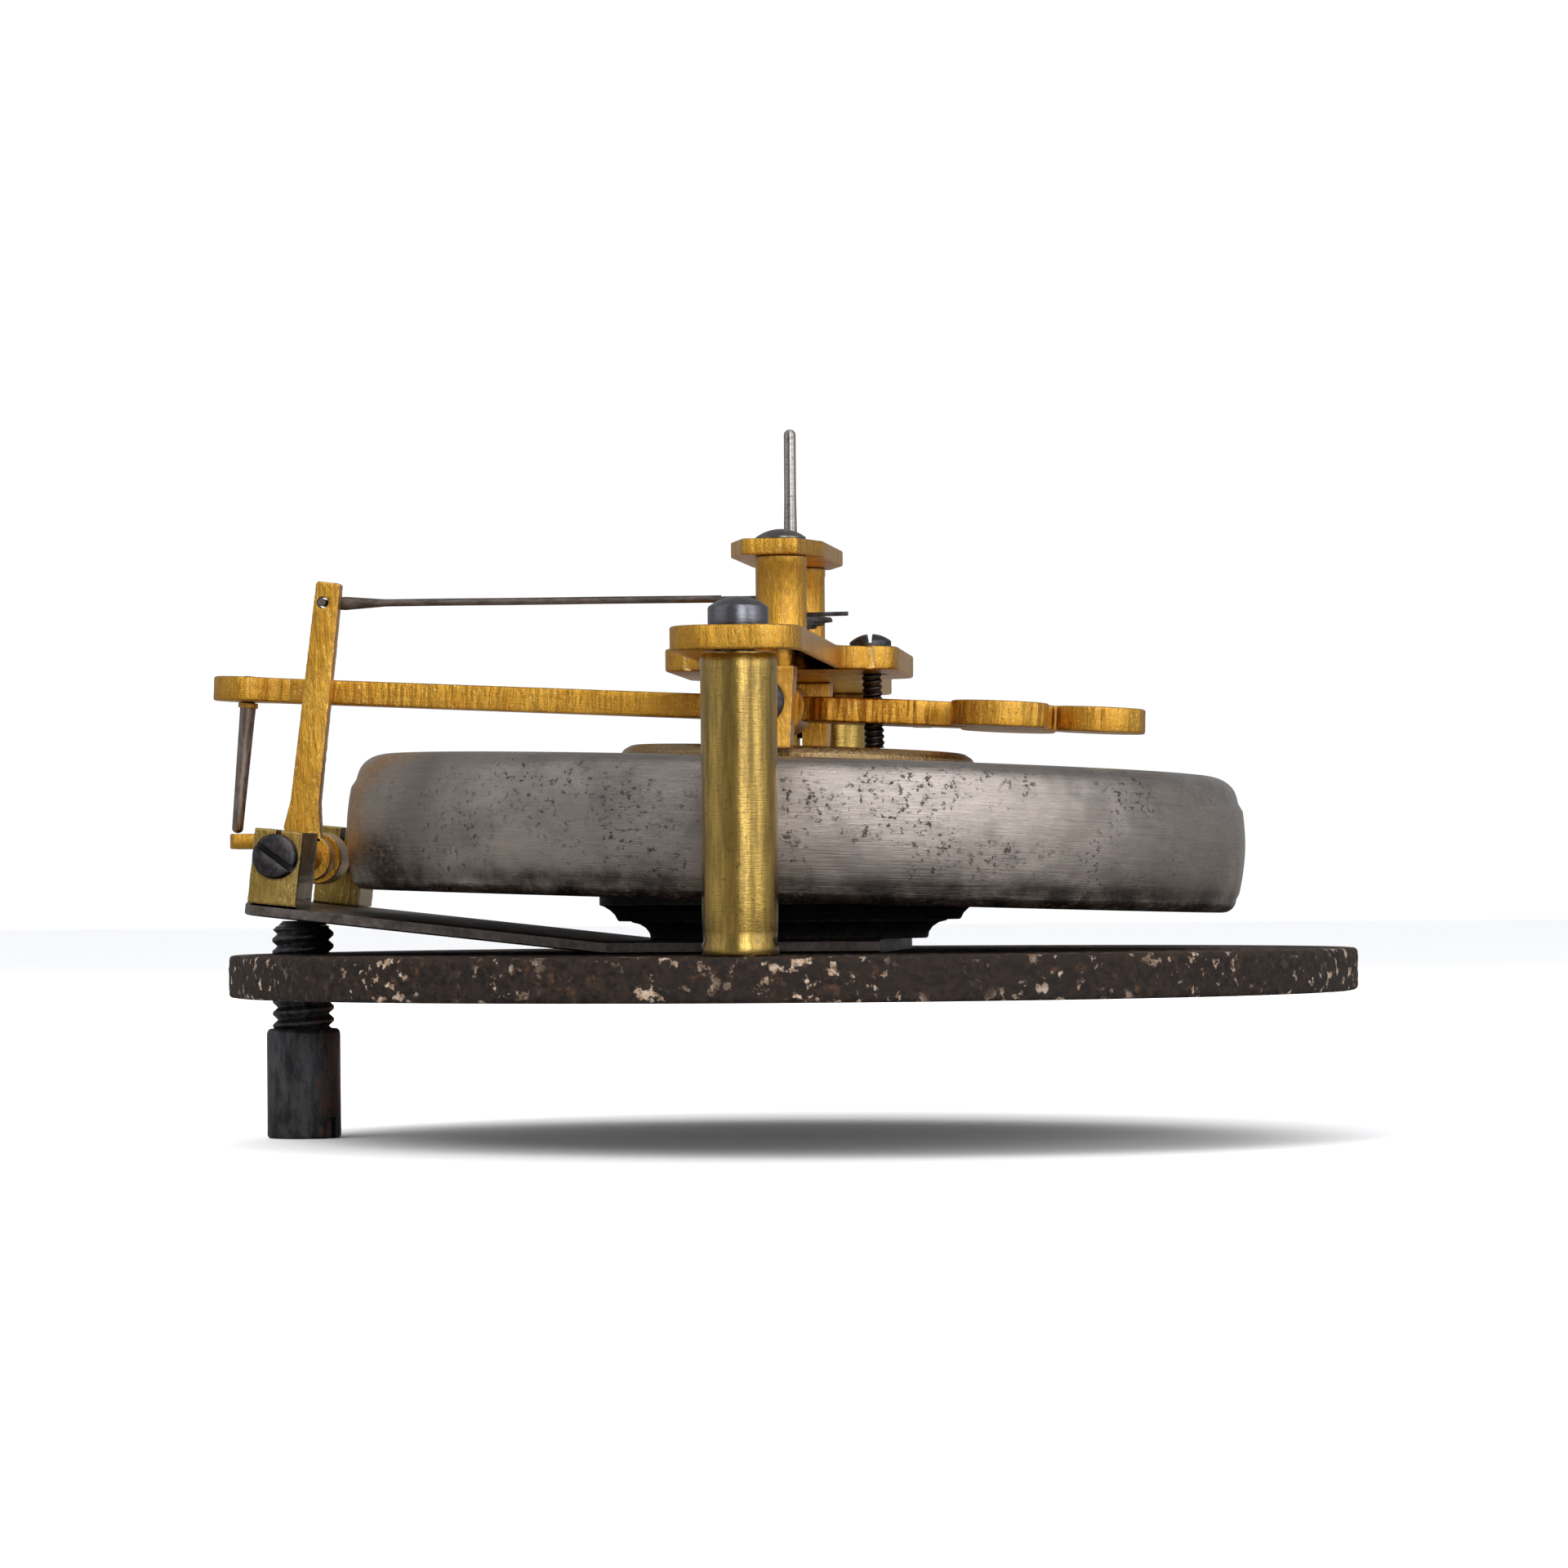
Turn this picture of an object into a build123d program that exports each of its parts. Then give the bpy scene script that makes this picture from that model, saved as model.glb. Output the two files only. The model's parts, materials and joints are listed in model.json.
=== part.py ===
from build123d import *
import os
from math import atan, cos, degrees, radians, sin, sqrt, tan

os.makedirs("parts", exist_ok=True)

# Aneroid barometer movement, millimetres.
# Origin: centre of the base plate's underside, on the axis of the pointer arbor.
# +X runs along the lever, away from the link end; +Y runs from the front pillar to the rear one; +Z is up.

# ---------------------------------------------------------------- driving dimensions
RUNNING_GAP = 0.04  # radial clearance of every turning or sliding fit
SEAT_GAP = 0.01  # radial clearance of every fixed fit

BASE_R = 36.4
BASE_T = 2.7
CASE_SCREW_PCD = 66.0
CASE_SCREW_COUNT = 3
CASE_SCREW_HOLE_R = 1.25

PILLAR_Y = 33.0
PILLAR_R = 2.275
PILLAR_TAP_R = 1.0

BRIDGE_Z = 20.57
BRIDGE_T = 1.47
BRIDGE_TOP = BRIDGE_Z + BRIDGE_T
BRIDGE_HALF_LENGTH = 37.0
BRIDGE_HALF_WIDTH = 3.9
BRIDGE_CENTRE = (14.9, 16.6)

COCK_Z = 27.87
COCK_T = 1.03
COCK_PILLAR_Y = 6.6
COCK_PILLAR_R = 1.66

ARBOR_TOP = 36.5
ARBOR_R = 0.44
ARBOR_TIP_R = 0.39
POINTER_SEAT = 4.35  # straight top of the arbor, dome included, that a pointer is pressed on
ARBOR_PIVOT_R = 0.25
DRUM_R = 0.72
DRUM_Z = 25.5

CAPSULE_X = 0.05
CAPSULE_FLOOR_Z = 5.95
CAPSULE_TILT = 2.0
CAPSULE_R = 29.05
CAPSULE_HEIGHT = 8.75
CAPSULE_WALL = 0.5
CROWN_R = 11.4
CROWN_TOP = 9.8  # above the capsule's floor, along its own axis

TONGUE_T = 0.8
TONGUE_HALF_WIDTH = 14.0
TONGUE_RIGHT_X = 6.7
BEND_X = -10.5
BEND_GAP = 0.12
TONGUE_SLOPE = 6.5
BLADE_LENGTH = 23.3

LEVER_X = -0.6
LEVER_Z = 18.4
LEVER_TILT = 2.7
LEVER_T = 1.6
LEVER_BLOCK_Y = 14.2
LEVER_BLOCK_DEPTH = 2.5
CONTACT_X = 5.3  # where the contact screw's axis meets the lever's middle plane
CONTACT_LEAN = -2.0  # its head leans left
CONTACT_R = 0.65
ARM_Y = 1.2

CRANK_X = -31.25
CRANK_Z = 8.97
CRANK_BLOCK_Y = 14.0
CRANK_BLOCK_DEPTH = 5.4
SHAFT_R = 0.9
PIVOT_SCREW_R = 0.8
BAR_Y = -2.4
EYE_X = -30.2
EYE_Z = 25.5
WIRE_R = 0.27

ADJUST_X = -32.2
ADJUST_R = 2.0
ADJUST_PITCH = 0.8
ADJUST_HEAD_R = 2.4

# ---------------------------------------------------------------- working planes
# Capsule, tongue blade and lever each lean: their left side is higher than their right side.


def leaning_plane(x, z, lean, y=0.0):
    """A plane at (x, y, z) whose X axis dips by the angle lean, in degrees, and whose Z axis leans right."""
    dip = radians(lean)
    return Plane(origin=(x, y, z), x_dir=(cos(dip), 0, -sin(dip)), z_dir=(sin(dip), 0, cos(dip)))


def upright(plane):
    """The plane that holds the given plane's X and Z axes, for profiles that are turned about that Z axis."""
    return Plane(origin=plane.origin, x_dir=plane.x_dir, z_dir=-plane.y_dir)


TONGUE_MID_Z = BASE_T + TONGUE_T / 2
capsule_plane = leaning_plane(CAPSULE_X, CAPSULE_FLOOR_Z, CAPSULE_TILT)
blade_plane = leaning_plane(BEND_X, TONGUE_MID_Z, TONGUE_SLOPE)
lever_plane = leaning_plane(LEVER_X, LEVER_Z, LEVER_TILT)
lever_drop = (CONTACT_X - LEVER_X) * tan(radians(LEVER_TILT))
contact_plane = leaning_plane(CONTACT_X, LEVER_Z - lever_drop, CONTACT_LEAN)

# ---------------------------------------------------------------- screws and threads


def dome_arc(radius, base, rise, direction=1):
    """Arc of a shallow dome, from its edge at height base to its top on the axis, rise further along."""
    ball = (radius**2 + rise**2) / (2 * rise)
    halfway = sqrt(ball**2 - (radius / 2) ** 2) - (ball - rise)
    top = (0, base + direction * rise)
    return ThreePointArc((radius, base), (radius / 2, base + direction * halfway), top)


def slotted_screw(head_r, head_h, shank_r, length, dome=0.0, slot_w=0.5, slot_angle=0.0, tip=0.0):
    """A screw standing on Z = 0: head above, shank below, with an optional pointed tip."""
    slot_depth = 0.45 * head_h
    with BuildPart() as screw:
        with BuildSketch(Plane.XZ):
            with BuildLine():
                Polyline((0, head_h + dome), (0, -length), (0.1, -length), (shank_r, -length + tip))
                Polyline((shank_r, -length + tip), (shank_r, 0), (head_r, 0), (head_r, head_h))
                if dome > 0:
                    dome_arc(head_r, head_h, dome)
                else:
                    Line((head_r, head_h), (0, head_h))
            make_face()
        revolve(axis=Axis.Z)
        with BuildSketch(Plane.XY.offset(head_h + dome)):
            Rectangle(2.2 * head_r, slot_w, rotation=slot_angle)
        extrude(amount=-slot_depth - dome, mode=Mode.SUBTRACT)
    return screw.part


def countersunk_screw(head_r, shank_r, length, slot_w=0.45):
    """A countersunk screw hanging from Z = 0, its flat head flush with that plane."""
    with BuildPart() as screw:
        with BuildSketch(Plane.XZ):
            Polygon(
                (0, 0), (head_r, 0), (shank_r, shank_r - head_r), (shank_r, -length), (0, -length), align=None
            )
        revolve(axis=Axis.Z)
        with BuildSketch():
            Rectangle(2.2 * head_r, slot_w)
        extrude(amount=-0.45, mode=Mode.SUBTRACT)
    return screw.part


def thread_outline(major_r, pitch, low, high, depth):
    """Half outline of a thread as ring grooves, from the axis at the low end to the axis at the high end."""
    turns = round((high - low) / pitch)
    step = (high - low) / turns
    outline = [(0, low), (major_r - depth, low)]
    for turn in range(turns):
        crest = low + (turn + 0.5) * step
        outline += [(major_r, crest - 0.06), (major_r, crest + 0.06)]
        outline += [(major_r - depth, low + (turn + 1) * step)]
    return outline + [(0, high)]


# ---------------------------------------------------------------- base plate
pillar_places = [(0, -PILLAR_Y), (0, PILLAR_Y)]
tongue_screw_places = [(0, -11.8), (0, 11.8)]
FOOT_SCREW_HEAD_R = 2.0
TONGUE_SCREW_HEAD_R = 1.6
TONGUE_SCREW_R = 0.8
CAPSULE_SCREW_HEAD_R = 2.6
CAPSULE_SCREW_R = 1.5
UNDERSIDE = (180, 0, 0)

with BuildPart() as base_plate:
    with BuildSketch():
        Circle(BASE_R)
        with PolarLocations(CASE_SCREW_PCD / 2, CASE_SCREW_COUNT):
            Circle(CASE_SCREW_HOLE_R, mode=Mode.SUBTRACT)
        with Locations((ADJUST_X, 0)):
            Circle(ADJUST_R + RUNNING_GAP, mode=Mode.SUBTRACT)
    extrude(amount=BASE_T)
    chamfer(base_plate.edges().filter_by(GeomType.CIRCLE).sort_by(SortBy.RADIUS)[-2:], length=0.2)
    with Locations(*[Location((x, y, 0), UNDERSIDE) for x, y in pillar_places]):
        CounterSinkHole(PILLAR_TAP_R + RUNNING_GAP, FOOT_SCREW_HEAD_R + SEAT_GAP, counter_sink_angle=90)
    with Locations(*[Location((x, y, 0), UNDERSIDE) for x, y in tongue_screw_places]):
        CounterSinkHole(TONGUE_SCREW_R + RUNNING_GAP, TONGUE_SCREW_HEAD_R + SEAT_GAP, counter_sink_angle=90)
    with Locations(Location((CAPSULE_X, 0, 0), UNDERSIDE)):
        CounterSinkHole(CAPSULE_SCREW_R + RUNNING_GAP, CAPSULE_SCREW_HEAD_R + SEAT_GAP, counter_sink_angle=90)

base_plate.part.label = "base_plate"
export_step(base_plate.part, "parts/base_plate.step")

# ---------------------------------------------------------------- pillars and their screws
PILLAR_TAP_DEPTH = 5.0


def pillar(y):
    """A turned pillar between base plate and bridge, tapped at both ends."""
    with BuildPart() as post:
        with BuildSketch(Plane.XY.offset(BASE_T)):
            with Locations((0, y)):
                Circle(PILLAR_R)
        extrude(amount=BRIDGE_Z - BASE_T)
        chamfer(post.edges().filter_by(GeomType.CIRCLE), length=0.15)
        for end, depth in ((BASE_T, PILLAR_TAP_DEPTH), (BRIDGE_Z, -PILLAR_TAP_DEPTH)):
            with BuildSketch(Plane.XY.offset(end)):
                with Locations((0, y)):
                    Circle(PILLAR_TAP_R)
            extrude(amount=depth, mode=Mode.SUBTRACT)
    return post


front_pillar = pillar(-PILLAR_Y)
front_pillar.part.label = "front_pillar"
export_step(front_pillar.part, "parts/front_pillar.step")

rear_pillar = pillar(PILLAR_Y)
rear_pillar.part.label = "rear_pillar"
export_step(rear_pillar.part, "parts/rear_pillar.step")

foot_screw = countersunk_screw(FOOT_SCREW_HEAD_R, PILLAR_TAP_R - SEAT_GAP, 7.2)
with BuildPart() as pillar_foot_screws:
    with Locations(*[Location((x, y, 0), UNDERSIDE) for x, y in pillar_places]):
        add(foot_screw)

pillar_foot_screws.part.label = "pillar_foot_screws"
export_step(pillar_foot_screws.part, "parts/pillar_foot_screws.step")

CAP_SCREW_HEAD_R = 1.8
cap_screw = slotted_screw(CAP_SCREW_HEAD_R, 1.25, PILLAR_TAP_R - SEAT_GAP, 5.5, dome=0.6, slot_angle=20)
with BuildPart() as bridge_cap_screws:
    with Locations(*[(x, y, BRIDGE_TOP) for x, y in pillar_places]):
        add(cap_screw)

bridge_cap_screws.part.label = "bridge_cap_screws"
export_step(bridge_cap_screws.part, "parts/bridge_cap_screws.step")

# ---------------------------------------------------------------- bridge plate
BLOCK_SCREW_R = 0.6
BLOCK_SCREW_HEAD_R = 1.3
BLOCK_SCREW_Y = 13.0
COCK_TENON_R = 0.9
CONTACT_HOLE_R = 1.1
CONTACT_HOLE_X = 5.2
HAIRSPRING_STUD = (0.2, -3.75)
STUD_TENON_R = 0.35
block_screw_places = [(LEVER_X, -BLOCK_SCREW_Y), (LEVER_X, BLOCK_SCREW_Y)]
cock_pillar_places = [(0, -COCK_PILLAR_Y), (0, COCK_PILLAR_Y)]

with BuildPart() as bridge_plate:
    with BuildSketch(Plane.XY.offset(BRIDGE_Z)):
        RectangleRounded(2 * BRIDGE_HALF_WIDTH, 2 * BRIDGE_HALF_LENGTH, 2.6)
        RectangleRounded(*BRIDGE_CENTRE, 1.8)
    extrude(amount=BRIDGE_T)
    corners = bridge_plate.edges().filter_by(Axis.Z).filter_by_position(
        Axis.Y, -BRIDGE_CENTRE[1] / 2 - 0.01, BRIDGE_CENTRE[1] / 2 + 0.01
    )
    inner_corners = corners.filter_by_position(Axis.X, -BRIDGE_HALF_WIDTH - 0.01, BRIDGE_HALF_WIDTH + 0.01)
    fillet(inner_corners, radius=2.2)
    with Locations(*[(x, y, BRIDGE_TOP) for x, y in pillar_places]):
        Hole(PILLAR_TAP_R + RUNNING_GAP)
    with Locations(*[(x, y, BRIDGE_TOP) for x, y in cock_pillar_places]):
        Hole(COCK_TENON_R)
    with Locations(*[(x, y, BRIDGE_TOP) for x, y in block_screw_places]):
        CounterSinkHole(BLOCK_SCREW_R + RUNNING_GAP, BLOCK_SCREW_HEAD_R + SEAT_GAP, counter_sink_angle=90)
    with Locations((0, 0, BRIDGE_TOP)):
        Hole(ARBOR_PIVOT_R + RUNNING_GAP)
    with Locations((CONTACT_HOLE_X, 0, BRIDGE_TOP)):
        Hole(CONTACT_HOLE_R)
    with Locations((*HAIRSPRING_STUD, BRIDGE_TOP)):
        Hole(STUD_TENON_R)

bridge_plate.part.label = "bridge_plate"
export_step(bridge_plate.part, "parts/bridge_plate.step")

# ---------------------------------------------------------------- top cock, its pillars and screws
COCK_HALF_LENGTH = 8.8
COCK_END_HALF_WIDTH = 1.75
COCK_HALF_WIDTH = 3.0
COCK_SHOULDER_Y = 5.0
COCK_SHIFT = -0.2  # the cock sits a little left of the arbor and slightly turned on its pillars
COCK_TURN = radians(-2.2)
COCK_SCREW_R = 0.7
COCK_SCREW_LENGTH = 3.6
cock_plane = Plane(
    origin=(COCK_SHIFT, 0, COCK_Z), x_dir=(cos(COCK_TURN), sin(COCK_TURN), 0), z_dir=(0, 0, 1)
)

with BuildPart() as top_cock:
    with BuildSketch(cock_plane):
        with BuildLine():
            Polyline(
                (0, COCK_HALF_LENGTH),
                (COCK_END_HALF_WIDTH, COCK_HALF_LENGTH),
                (COCK_HALF_WIDTH, COCK_SHOULDER_Y),
                (COCK_HALF_WIDTH, 0),
            )
            mirror(about=Plane.YZ)
            mirror(about=Plane.XZ)
        make_face()
    extrude(amount=COCK_T)
    fillet(top_cock.edges().filter_by(Axis.Z), radius=0.5)
    with Locations(*[(x, y, COCK_Z + COCK_T) for x, y in cock_pillar_places]):
        Hole(COCK_SCREW_R + RUNNING_GAP)
    with Locations((0, 0, COCK_Z + COCK_T)):
        Hole(ARBOR_R + RUNNING_GAP)

top_cock.part.label = "top_cock"
export_step(top_cock.part, "parts/top_cock.step")


def cock_pillar(y, cross_hole):
    """A short turned pillar with a tenon through the bridge plate and a tapped top."""
    with BuildPart() as post:
        with BuildSketch(Plane.XY.offset(BRIDGE_Z)):
            with Locations((0, y)):
                Circle(COCK_TENON_R - SEAT_GAP)
        extrude(amount=BRIDGE_T)
        with BuildSketch(Plane.XY.offset(BRIDGE_TOP)):
            with Locations((0, y)):
                Circle(COCK_PILLAR_R)
        extrude(amount=COCK_Z - BRIDGE_TOP)
        with BuildSketch(Plane.XY.offset(COCK_Z)):
            with Locations((0, y)):
                Circle(COCK_SCREW_R)
        extrude(amount=-3.0, mode=Mode.SUBTRACT)
        if cross_hole:
            with BuildSketch(Plane.XZ.offset(-y)):
                with Locations((0, 24.4)):
                    Circle(0.25)
            extrude(amount=COCK_PILLAR_R + 0.1, both=True, mode=Mode.SUBTRACT)
    return post


cock_pillar_front = cock_pillar(-COCK_PILLAR_Y, cross_hole=False)
cock_pillar_front.part.label = "cock_pillar_front"
export_step(cock_pillar_front.part, "parts/cock_pillar_front.step")

cock_pillar_rear = cock_pillar(COCK_PILLAR_Y, cross_hole=True)
cock_pillar_rear.part.label = "cock_pillar_rear"
export_step(cock_pillar_rear.part, "parts/cock_pillar_rear.step")

cock_screw = slotted_screw(1.6, 0.2, COCK_SCREW_R - SEAT_GAP, COCK_SCREW_LENGTH, dome=0.5, slot_w=0.4)
with BuildPart() as cock_screws:
    with Locations(*[(x, y, COCK_Z + COCK_T) for x, y in cock_pillar_places]):
        add(cock_screw)

cock_screws.part.label = "cock_screws"
export_step(cock_screws.part, "parts/cock_screws.step")

# ---------------------------------------------------------------- pointer arbor, drum and hairspring
ARBOR_BODY_R = 0.5
COLLET_Z = 23.0
COLLET_R = 0.8

with BuildPart() as pointer_arbor:
    with BuildSketch(Plane.XZ):
        with BuildLine():
            Polyline(
                (0, ARBOR_TOP),
                (0, BRIDGE_Z + 0.1),
                (ARBOR_PIVOT_R, BRIDGE_Z + 0.1),
                (ARBOR_PIVOT_R, BRIDGE_TOP + 0.08),
                (ARBOR_BODY_R, BRIDGE_TOP + 0.08),
                (ARBOR_BODY_R, COCK_Z - 0.08),
                (ARBOR_R, COCK_Z - 0.08),
                (ARBOR_R, COCK_Z + COCK_T + 0.3),
                (ARBOR_TIP_R, ARBOR_TOP - POINTER_SEAT),
                (ARBOR_TIP_R, ARBOR_TOP - 0.35),
            )
            dome_arc(ARBOR_TIP_R, ARBOR_TOP - 0.35, 0.35)
        make_face()
    revolve(axis=Axis.Z)

pointer_arbor.part.label = "pointer_arbor"
export_step(pointer_arbor.part, "parts/pointer_arbor.step")

with BuildPart() as chain_drum:
    with BuildSketch(Plane.XY.offset(DRUM_Z - 0.7)):
        Circle(DRUM_R)
        Circle(ARBOR_BODY_R + SEAT_GAP, mode=Mode.SUBTRACT)
    extrude(amount=1.4)
    for flange_z in (DRUM_Z - 0.7, DRUM_Z + 0.5):
        with BuildSketch(Plane.XY.offset(flange_z)):
            Circle(1.0)
            Circle(ARBOR_BODY_R + SEAT_GAP, mode=Mode.SUBTRACT)
        extrude(amount=0.2)

chain_drum.part.label = "chain_drum"
export_step(chain_drum.part, "parts/chain_drum.step")

CHAIN_HALF_HEIGHT = 0.17
with BuildPart() as chain_wrap:
    with BuildSketch(Plane.XY.offset(DRUM_Z - CHAIN_HALF_HEIGHT)):
        Circle(DRUM_R + SEAT_GAP + 0.22)
        Circle(DRUM_R + SEAT_GAP, mode=Mode.SUBTRACT)
    extrude(amount=2 * CHAIN_HALF_HEIGHT)

chain_wrap.part.label = "chain_wrap"
export_step(chain_wrap.part, "parts/chain_wrap.step")

with BuildPart() as hairspring_collet:
    with BuildSketch(Plane.XY.offset(COLLET_Z)):
        Circle(COLLET_R)
        Circle(ARBOR_BODY_R + SEAT_GAP, mode=Mode.SUBTRACT)
    extrude(amount=0.8)

hairspring_collet.part.label = "hairspring_collet"
export_step(hairspring_collet.part, "parts/hairspring_collet.step")

SPRING_START_R = 1.0
SPRING_END_R = 3.0
SPRING_LOW_Z = 23.45
SPRING_RISE = 0.85
SPRING_TURNS = 4
SPRING_TAIL = 4.0  # straight end of the ribbon beyond its stud

with BuildPart() as hairspring:
    with BuildLine(Plane(origin=(0, 0, 0), x_dir=(0, -1, 0), z_dir=(0, 0, 1))) as spiral:
        Helix(
            pitch=SPRING_RISE / SPRING_TURNS,
            height=SPRING_RISE,
            radius=SPRING_START_R,
            center=(0, 0, SPRING_LOW_Z),
            cone_angle=degrees(atan((SPRING_END_R - SPRING_START_R) / SPRING_RISE)),
        )
    with BuildSketch(Plane(origin=spiral.line @ 0, x_dir=(0, 0, 1), z_dir=spiral.line % 0)):
        Rectangle(0.3, 0.1)
    sweep(path=spiral.line, is_frenet=True)
    with BuildSketch(Plane(origin=spiral.line @ 1, x_dir=(0, 0, 1), z_dir=spiral.line % 1)):
        Rectangle(0.3, 0.1)
    extrude(amount=SPRING_TAIL)

hairspring.part.label = "hairspring"
export_step(hairspring.part, "parts/hairspring.step")

with BuildPart() as hairspring_stud:
    with BuildSketch(Plane.XY.offset(BRIDGE_Z)):
        with Locations(HAIRSPRING_STUD):
            Circle(STUD_TENON_R - SEAT_GAP)
    extrude(amount=BRIDGE_T)
    with BuildSketch(Plane.XY.offset(BRIDGE_TOP)):
        with Locations(HAIRSPRING_STUD):
            Circle(0.55)
    extrude(amount=24.75 - BRIDGE_TOP)

hairspring_stud.part.label = "hairspring_stud"
export_step(hairspring_stud.part, "parts/hairspring_stud.step")

# ---------------------------------------------------------------- lever blocks under the bridge
LEVER_BLOCK_HALF_WIDTH = 2.1
LEVER_BLOCK_LOW_Z = 15.45
LEVER_BLOCK_LEAN = 0.28
SAW_CUT = 0.36


def lever_block(face_y, inward):
    """A split block hanging under the bridge; inward is +1 for the front block and -1 for the rear one."""
    with BuildPart() as block:
        with BuildSketch(Plane.XZ.offset(-face_y)):
            Polygon(
                (LEVER_X - LEVER_BLOCK_HALF_WIDTH, BRIDGE_Z),
                (LEVER_X + LEVER_BLOCK_HALF_WIDTH, BRIDGE_Z),
                (LEVER_X + LEVER_BLOCK_HALF_WIDTH - LEVER_BLOCK_LEAN, LEVER_BLOCK_LOW_Z),
                (LEVER_X - LEVER_BLOCK_HALF_WIDTH - LEVER_BLOCK_LEAN, LEVER_BLOCK_LOW_Z),
                align=None,
            )
            with Locations((LEVER_X, LEVER_Z)):
                Circle(PIVOT_SCREW_R, mode=Mode.SUBTRACT)
            with Locations((LEVER_X, LEVER_Z)):
                Rectangle(SAW_CUT, 4.0, align=(Align.CENTER, Align.MAX), mode=Mode.SUBTRACT)
        extrude(amount=-inward * LEVER_BLOCK_DEPTH)
        with BuildSketch(Plane.XY.offset(BRIDGE_Z)):
            with Locations((LEVER_X, inward * -BLOCK_SCREW_Y)):
                Circle(BLOCK_SCREW_R)
        extrude(amount=-1.15, mode=Mode.SUBTRACT)
    return block


lever_block_front = lever_block(-LEVER_BLOCK_Y, 1)
lever_block_front.part.label = "lever_block_front"
export_step(lever_block_front.part, "parts/lever_block_front.step")

lever_block_rear = lever_block(LEVER_BLOCK_Y, -1)
lever_block_rear.part.label = "lever_block_rear"
export_step(lever_block_rear.part, "parts/lever_block_rear.step")

block_screw = countersunk_screw(BLOCK_SCREW_HEAD_R, BLOCK_SCREW_R - SEAT_GAP, 2.5, slot_w=0.35)
with BuildPart() as lever_block_screws:
    with Locations(*[(x, y, BRIDGE_TOP) for x, y in block_screw_places]):
        add(block_screw)

lever_block_screws.part.label = "lever_block_screws"
export_step(lever_block_screws.part, "parts/lever_block_screws.step")

# ---------------------------------------------------------------- pivot screws and shafts
LEVER_PIVOT_HEAD_R = 1.5
CRANK_PIVOT_HEAD_R = 1.42
PIVOT_HEAD_H = 0.75
PIVOT_TIP = 0.7
FACING_FRONT = (90, 0, 0)
FACING_REAR = (-90, 0, 0)


def pivot_screw_pair(x, z, face_y, depth, head_r, slot_angle):
    """Two pointed screws facing each other along Y, through blocks whose outer faces are at y = +-face_y."""
    screw = slotted_screw(
        head_r, PIVOT_HEAD_H, PIVOT_SCREW_R - SEAT_GAP, depth + PIVOT_TIP, slot_angle=slot_angle, tip=PIVOT_TIP
    )
    with BuildPart() as pair:
        with Locations(Location((x, -face_y, z), FACING_FRONT), Location((x, face_y, z), FACING_REAR)):
            add(screw)
    return pair


def coned_shaft(x, z, half_length):
    """A shaft along Y whose ends are bored with cones that the pivot screws' points enter."""
    cone_r = SHAFT_R - 0.15
    cone_depth = PIVOT_TIP + 0.02
    with BuildPart() as shaft:
        with BuildSketch(Plane(origin=(x, 0, z), x_dir=(1, 0, 0), z_dir=(0, 0, 1))):
            Polygon(
                (0, -half_length + cone_depth),
                (cone_r, -half_length),
                (SHAFT_R, -half_length),
                (SHAFT_R, half_length),
                (cone_r, half_length),
                (0, half_length - cone_depth),
                align=None,
            )
        revolve(axis=Axis((x, 0, z), (0, 1, 0)))
    return shaft


lever_pivot_screws = pivot_screw_pair(
    LEVER_X, LEVER_Z, LEVER_BLOCK_Y, LEVER_BLOCK_DEPTH, LEVER_PIVOT_HEAD_R, slot_angle=65
)
lever_pivot_screws.part.label = "lever_pivot_screws"
export_step(lever_pivot_screws.part, "parts/lever_pivot_screws.step")

lever_shaft = coned_shaft(LEVER_X, LEVER_Z, LEVER_BLOCK_Y - LEVER_BLOCK_DEPTH - 0.12)
lever_shaft.part.label = "lever_shaft"
export_step(lever_shaft.part, "parts/lever_shaft.step")

# ---------------------------------------------------------------- main lever
# All sizes here are in the lever's own leaning plane, measured from the pivot.
LOBE_R = 2.2
LOBE_U = -35.45
LOBE_FILLET = 1.5
ARM_HALF_WIDTH = 1.3
WIDE_START_U = 2.2
WIDE_END_U = 9.5
WIDE_HALF_WIDTH = 3.0
NECK_HALF_WIDTH = 2.1
WEIGHT_R = 3.15
weight_lobes = [(14.4, -5.0), (14.4, 5.0), (20.4, 0.0)]
HUB_R = 1.7
HUB_HALF_LENGTH = 3.3

# The drop pin leans more than the lever: its tip hangs further left than its head.
PIN_LEAN = 5.4
PIN_ROOT = lever_plane.from_local_coords((LOBE_U + 0.12, ARM_Y, -LEVER_T / 2))
PIN_R = 0.525
PIN_RIVET_R = 0.44
PIN_TIP_R = 0.37
PIN_LENGTH = 8.65
pin_plane = leaning_plane(PIN_ROOT.X, PIN_ROOT.Z, PIN_LEAN, PIN_ROOT.Y)

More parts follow.
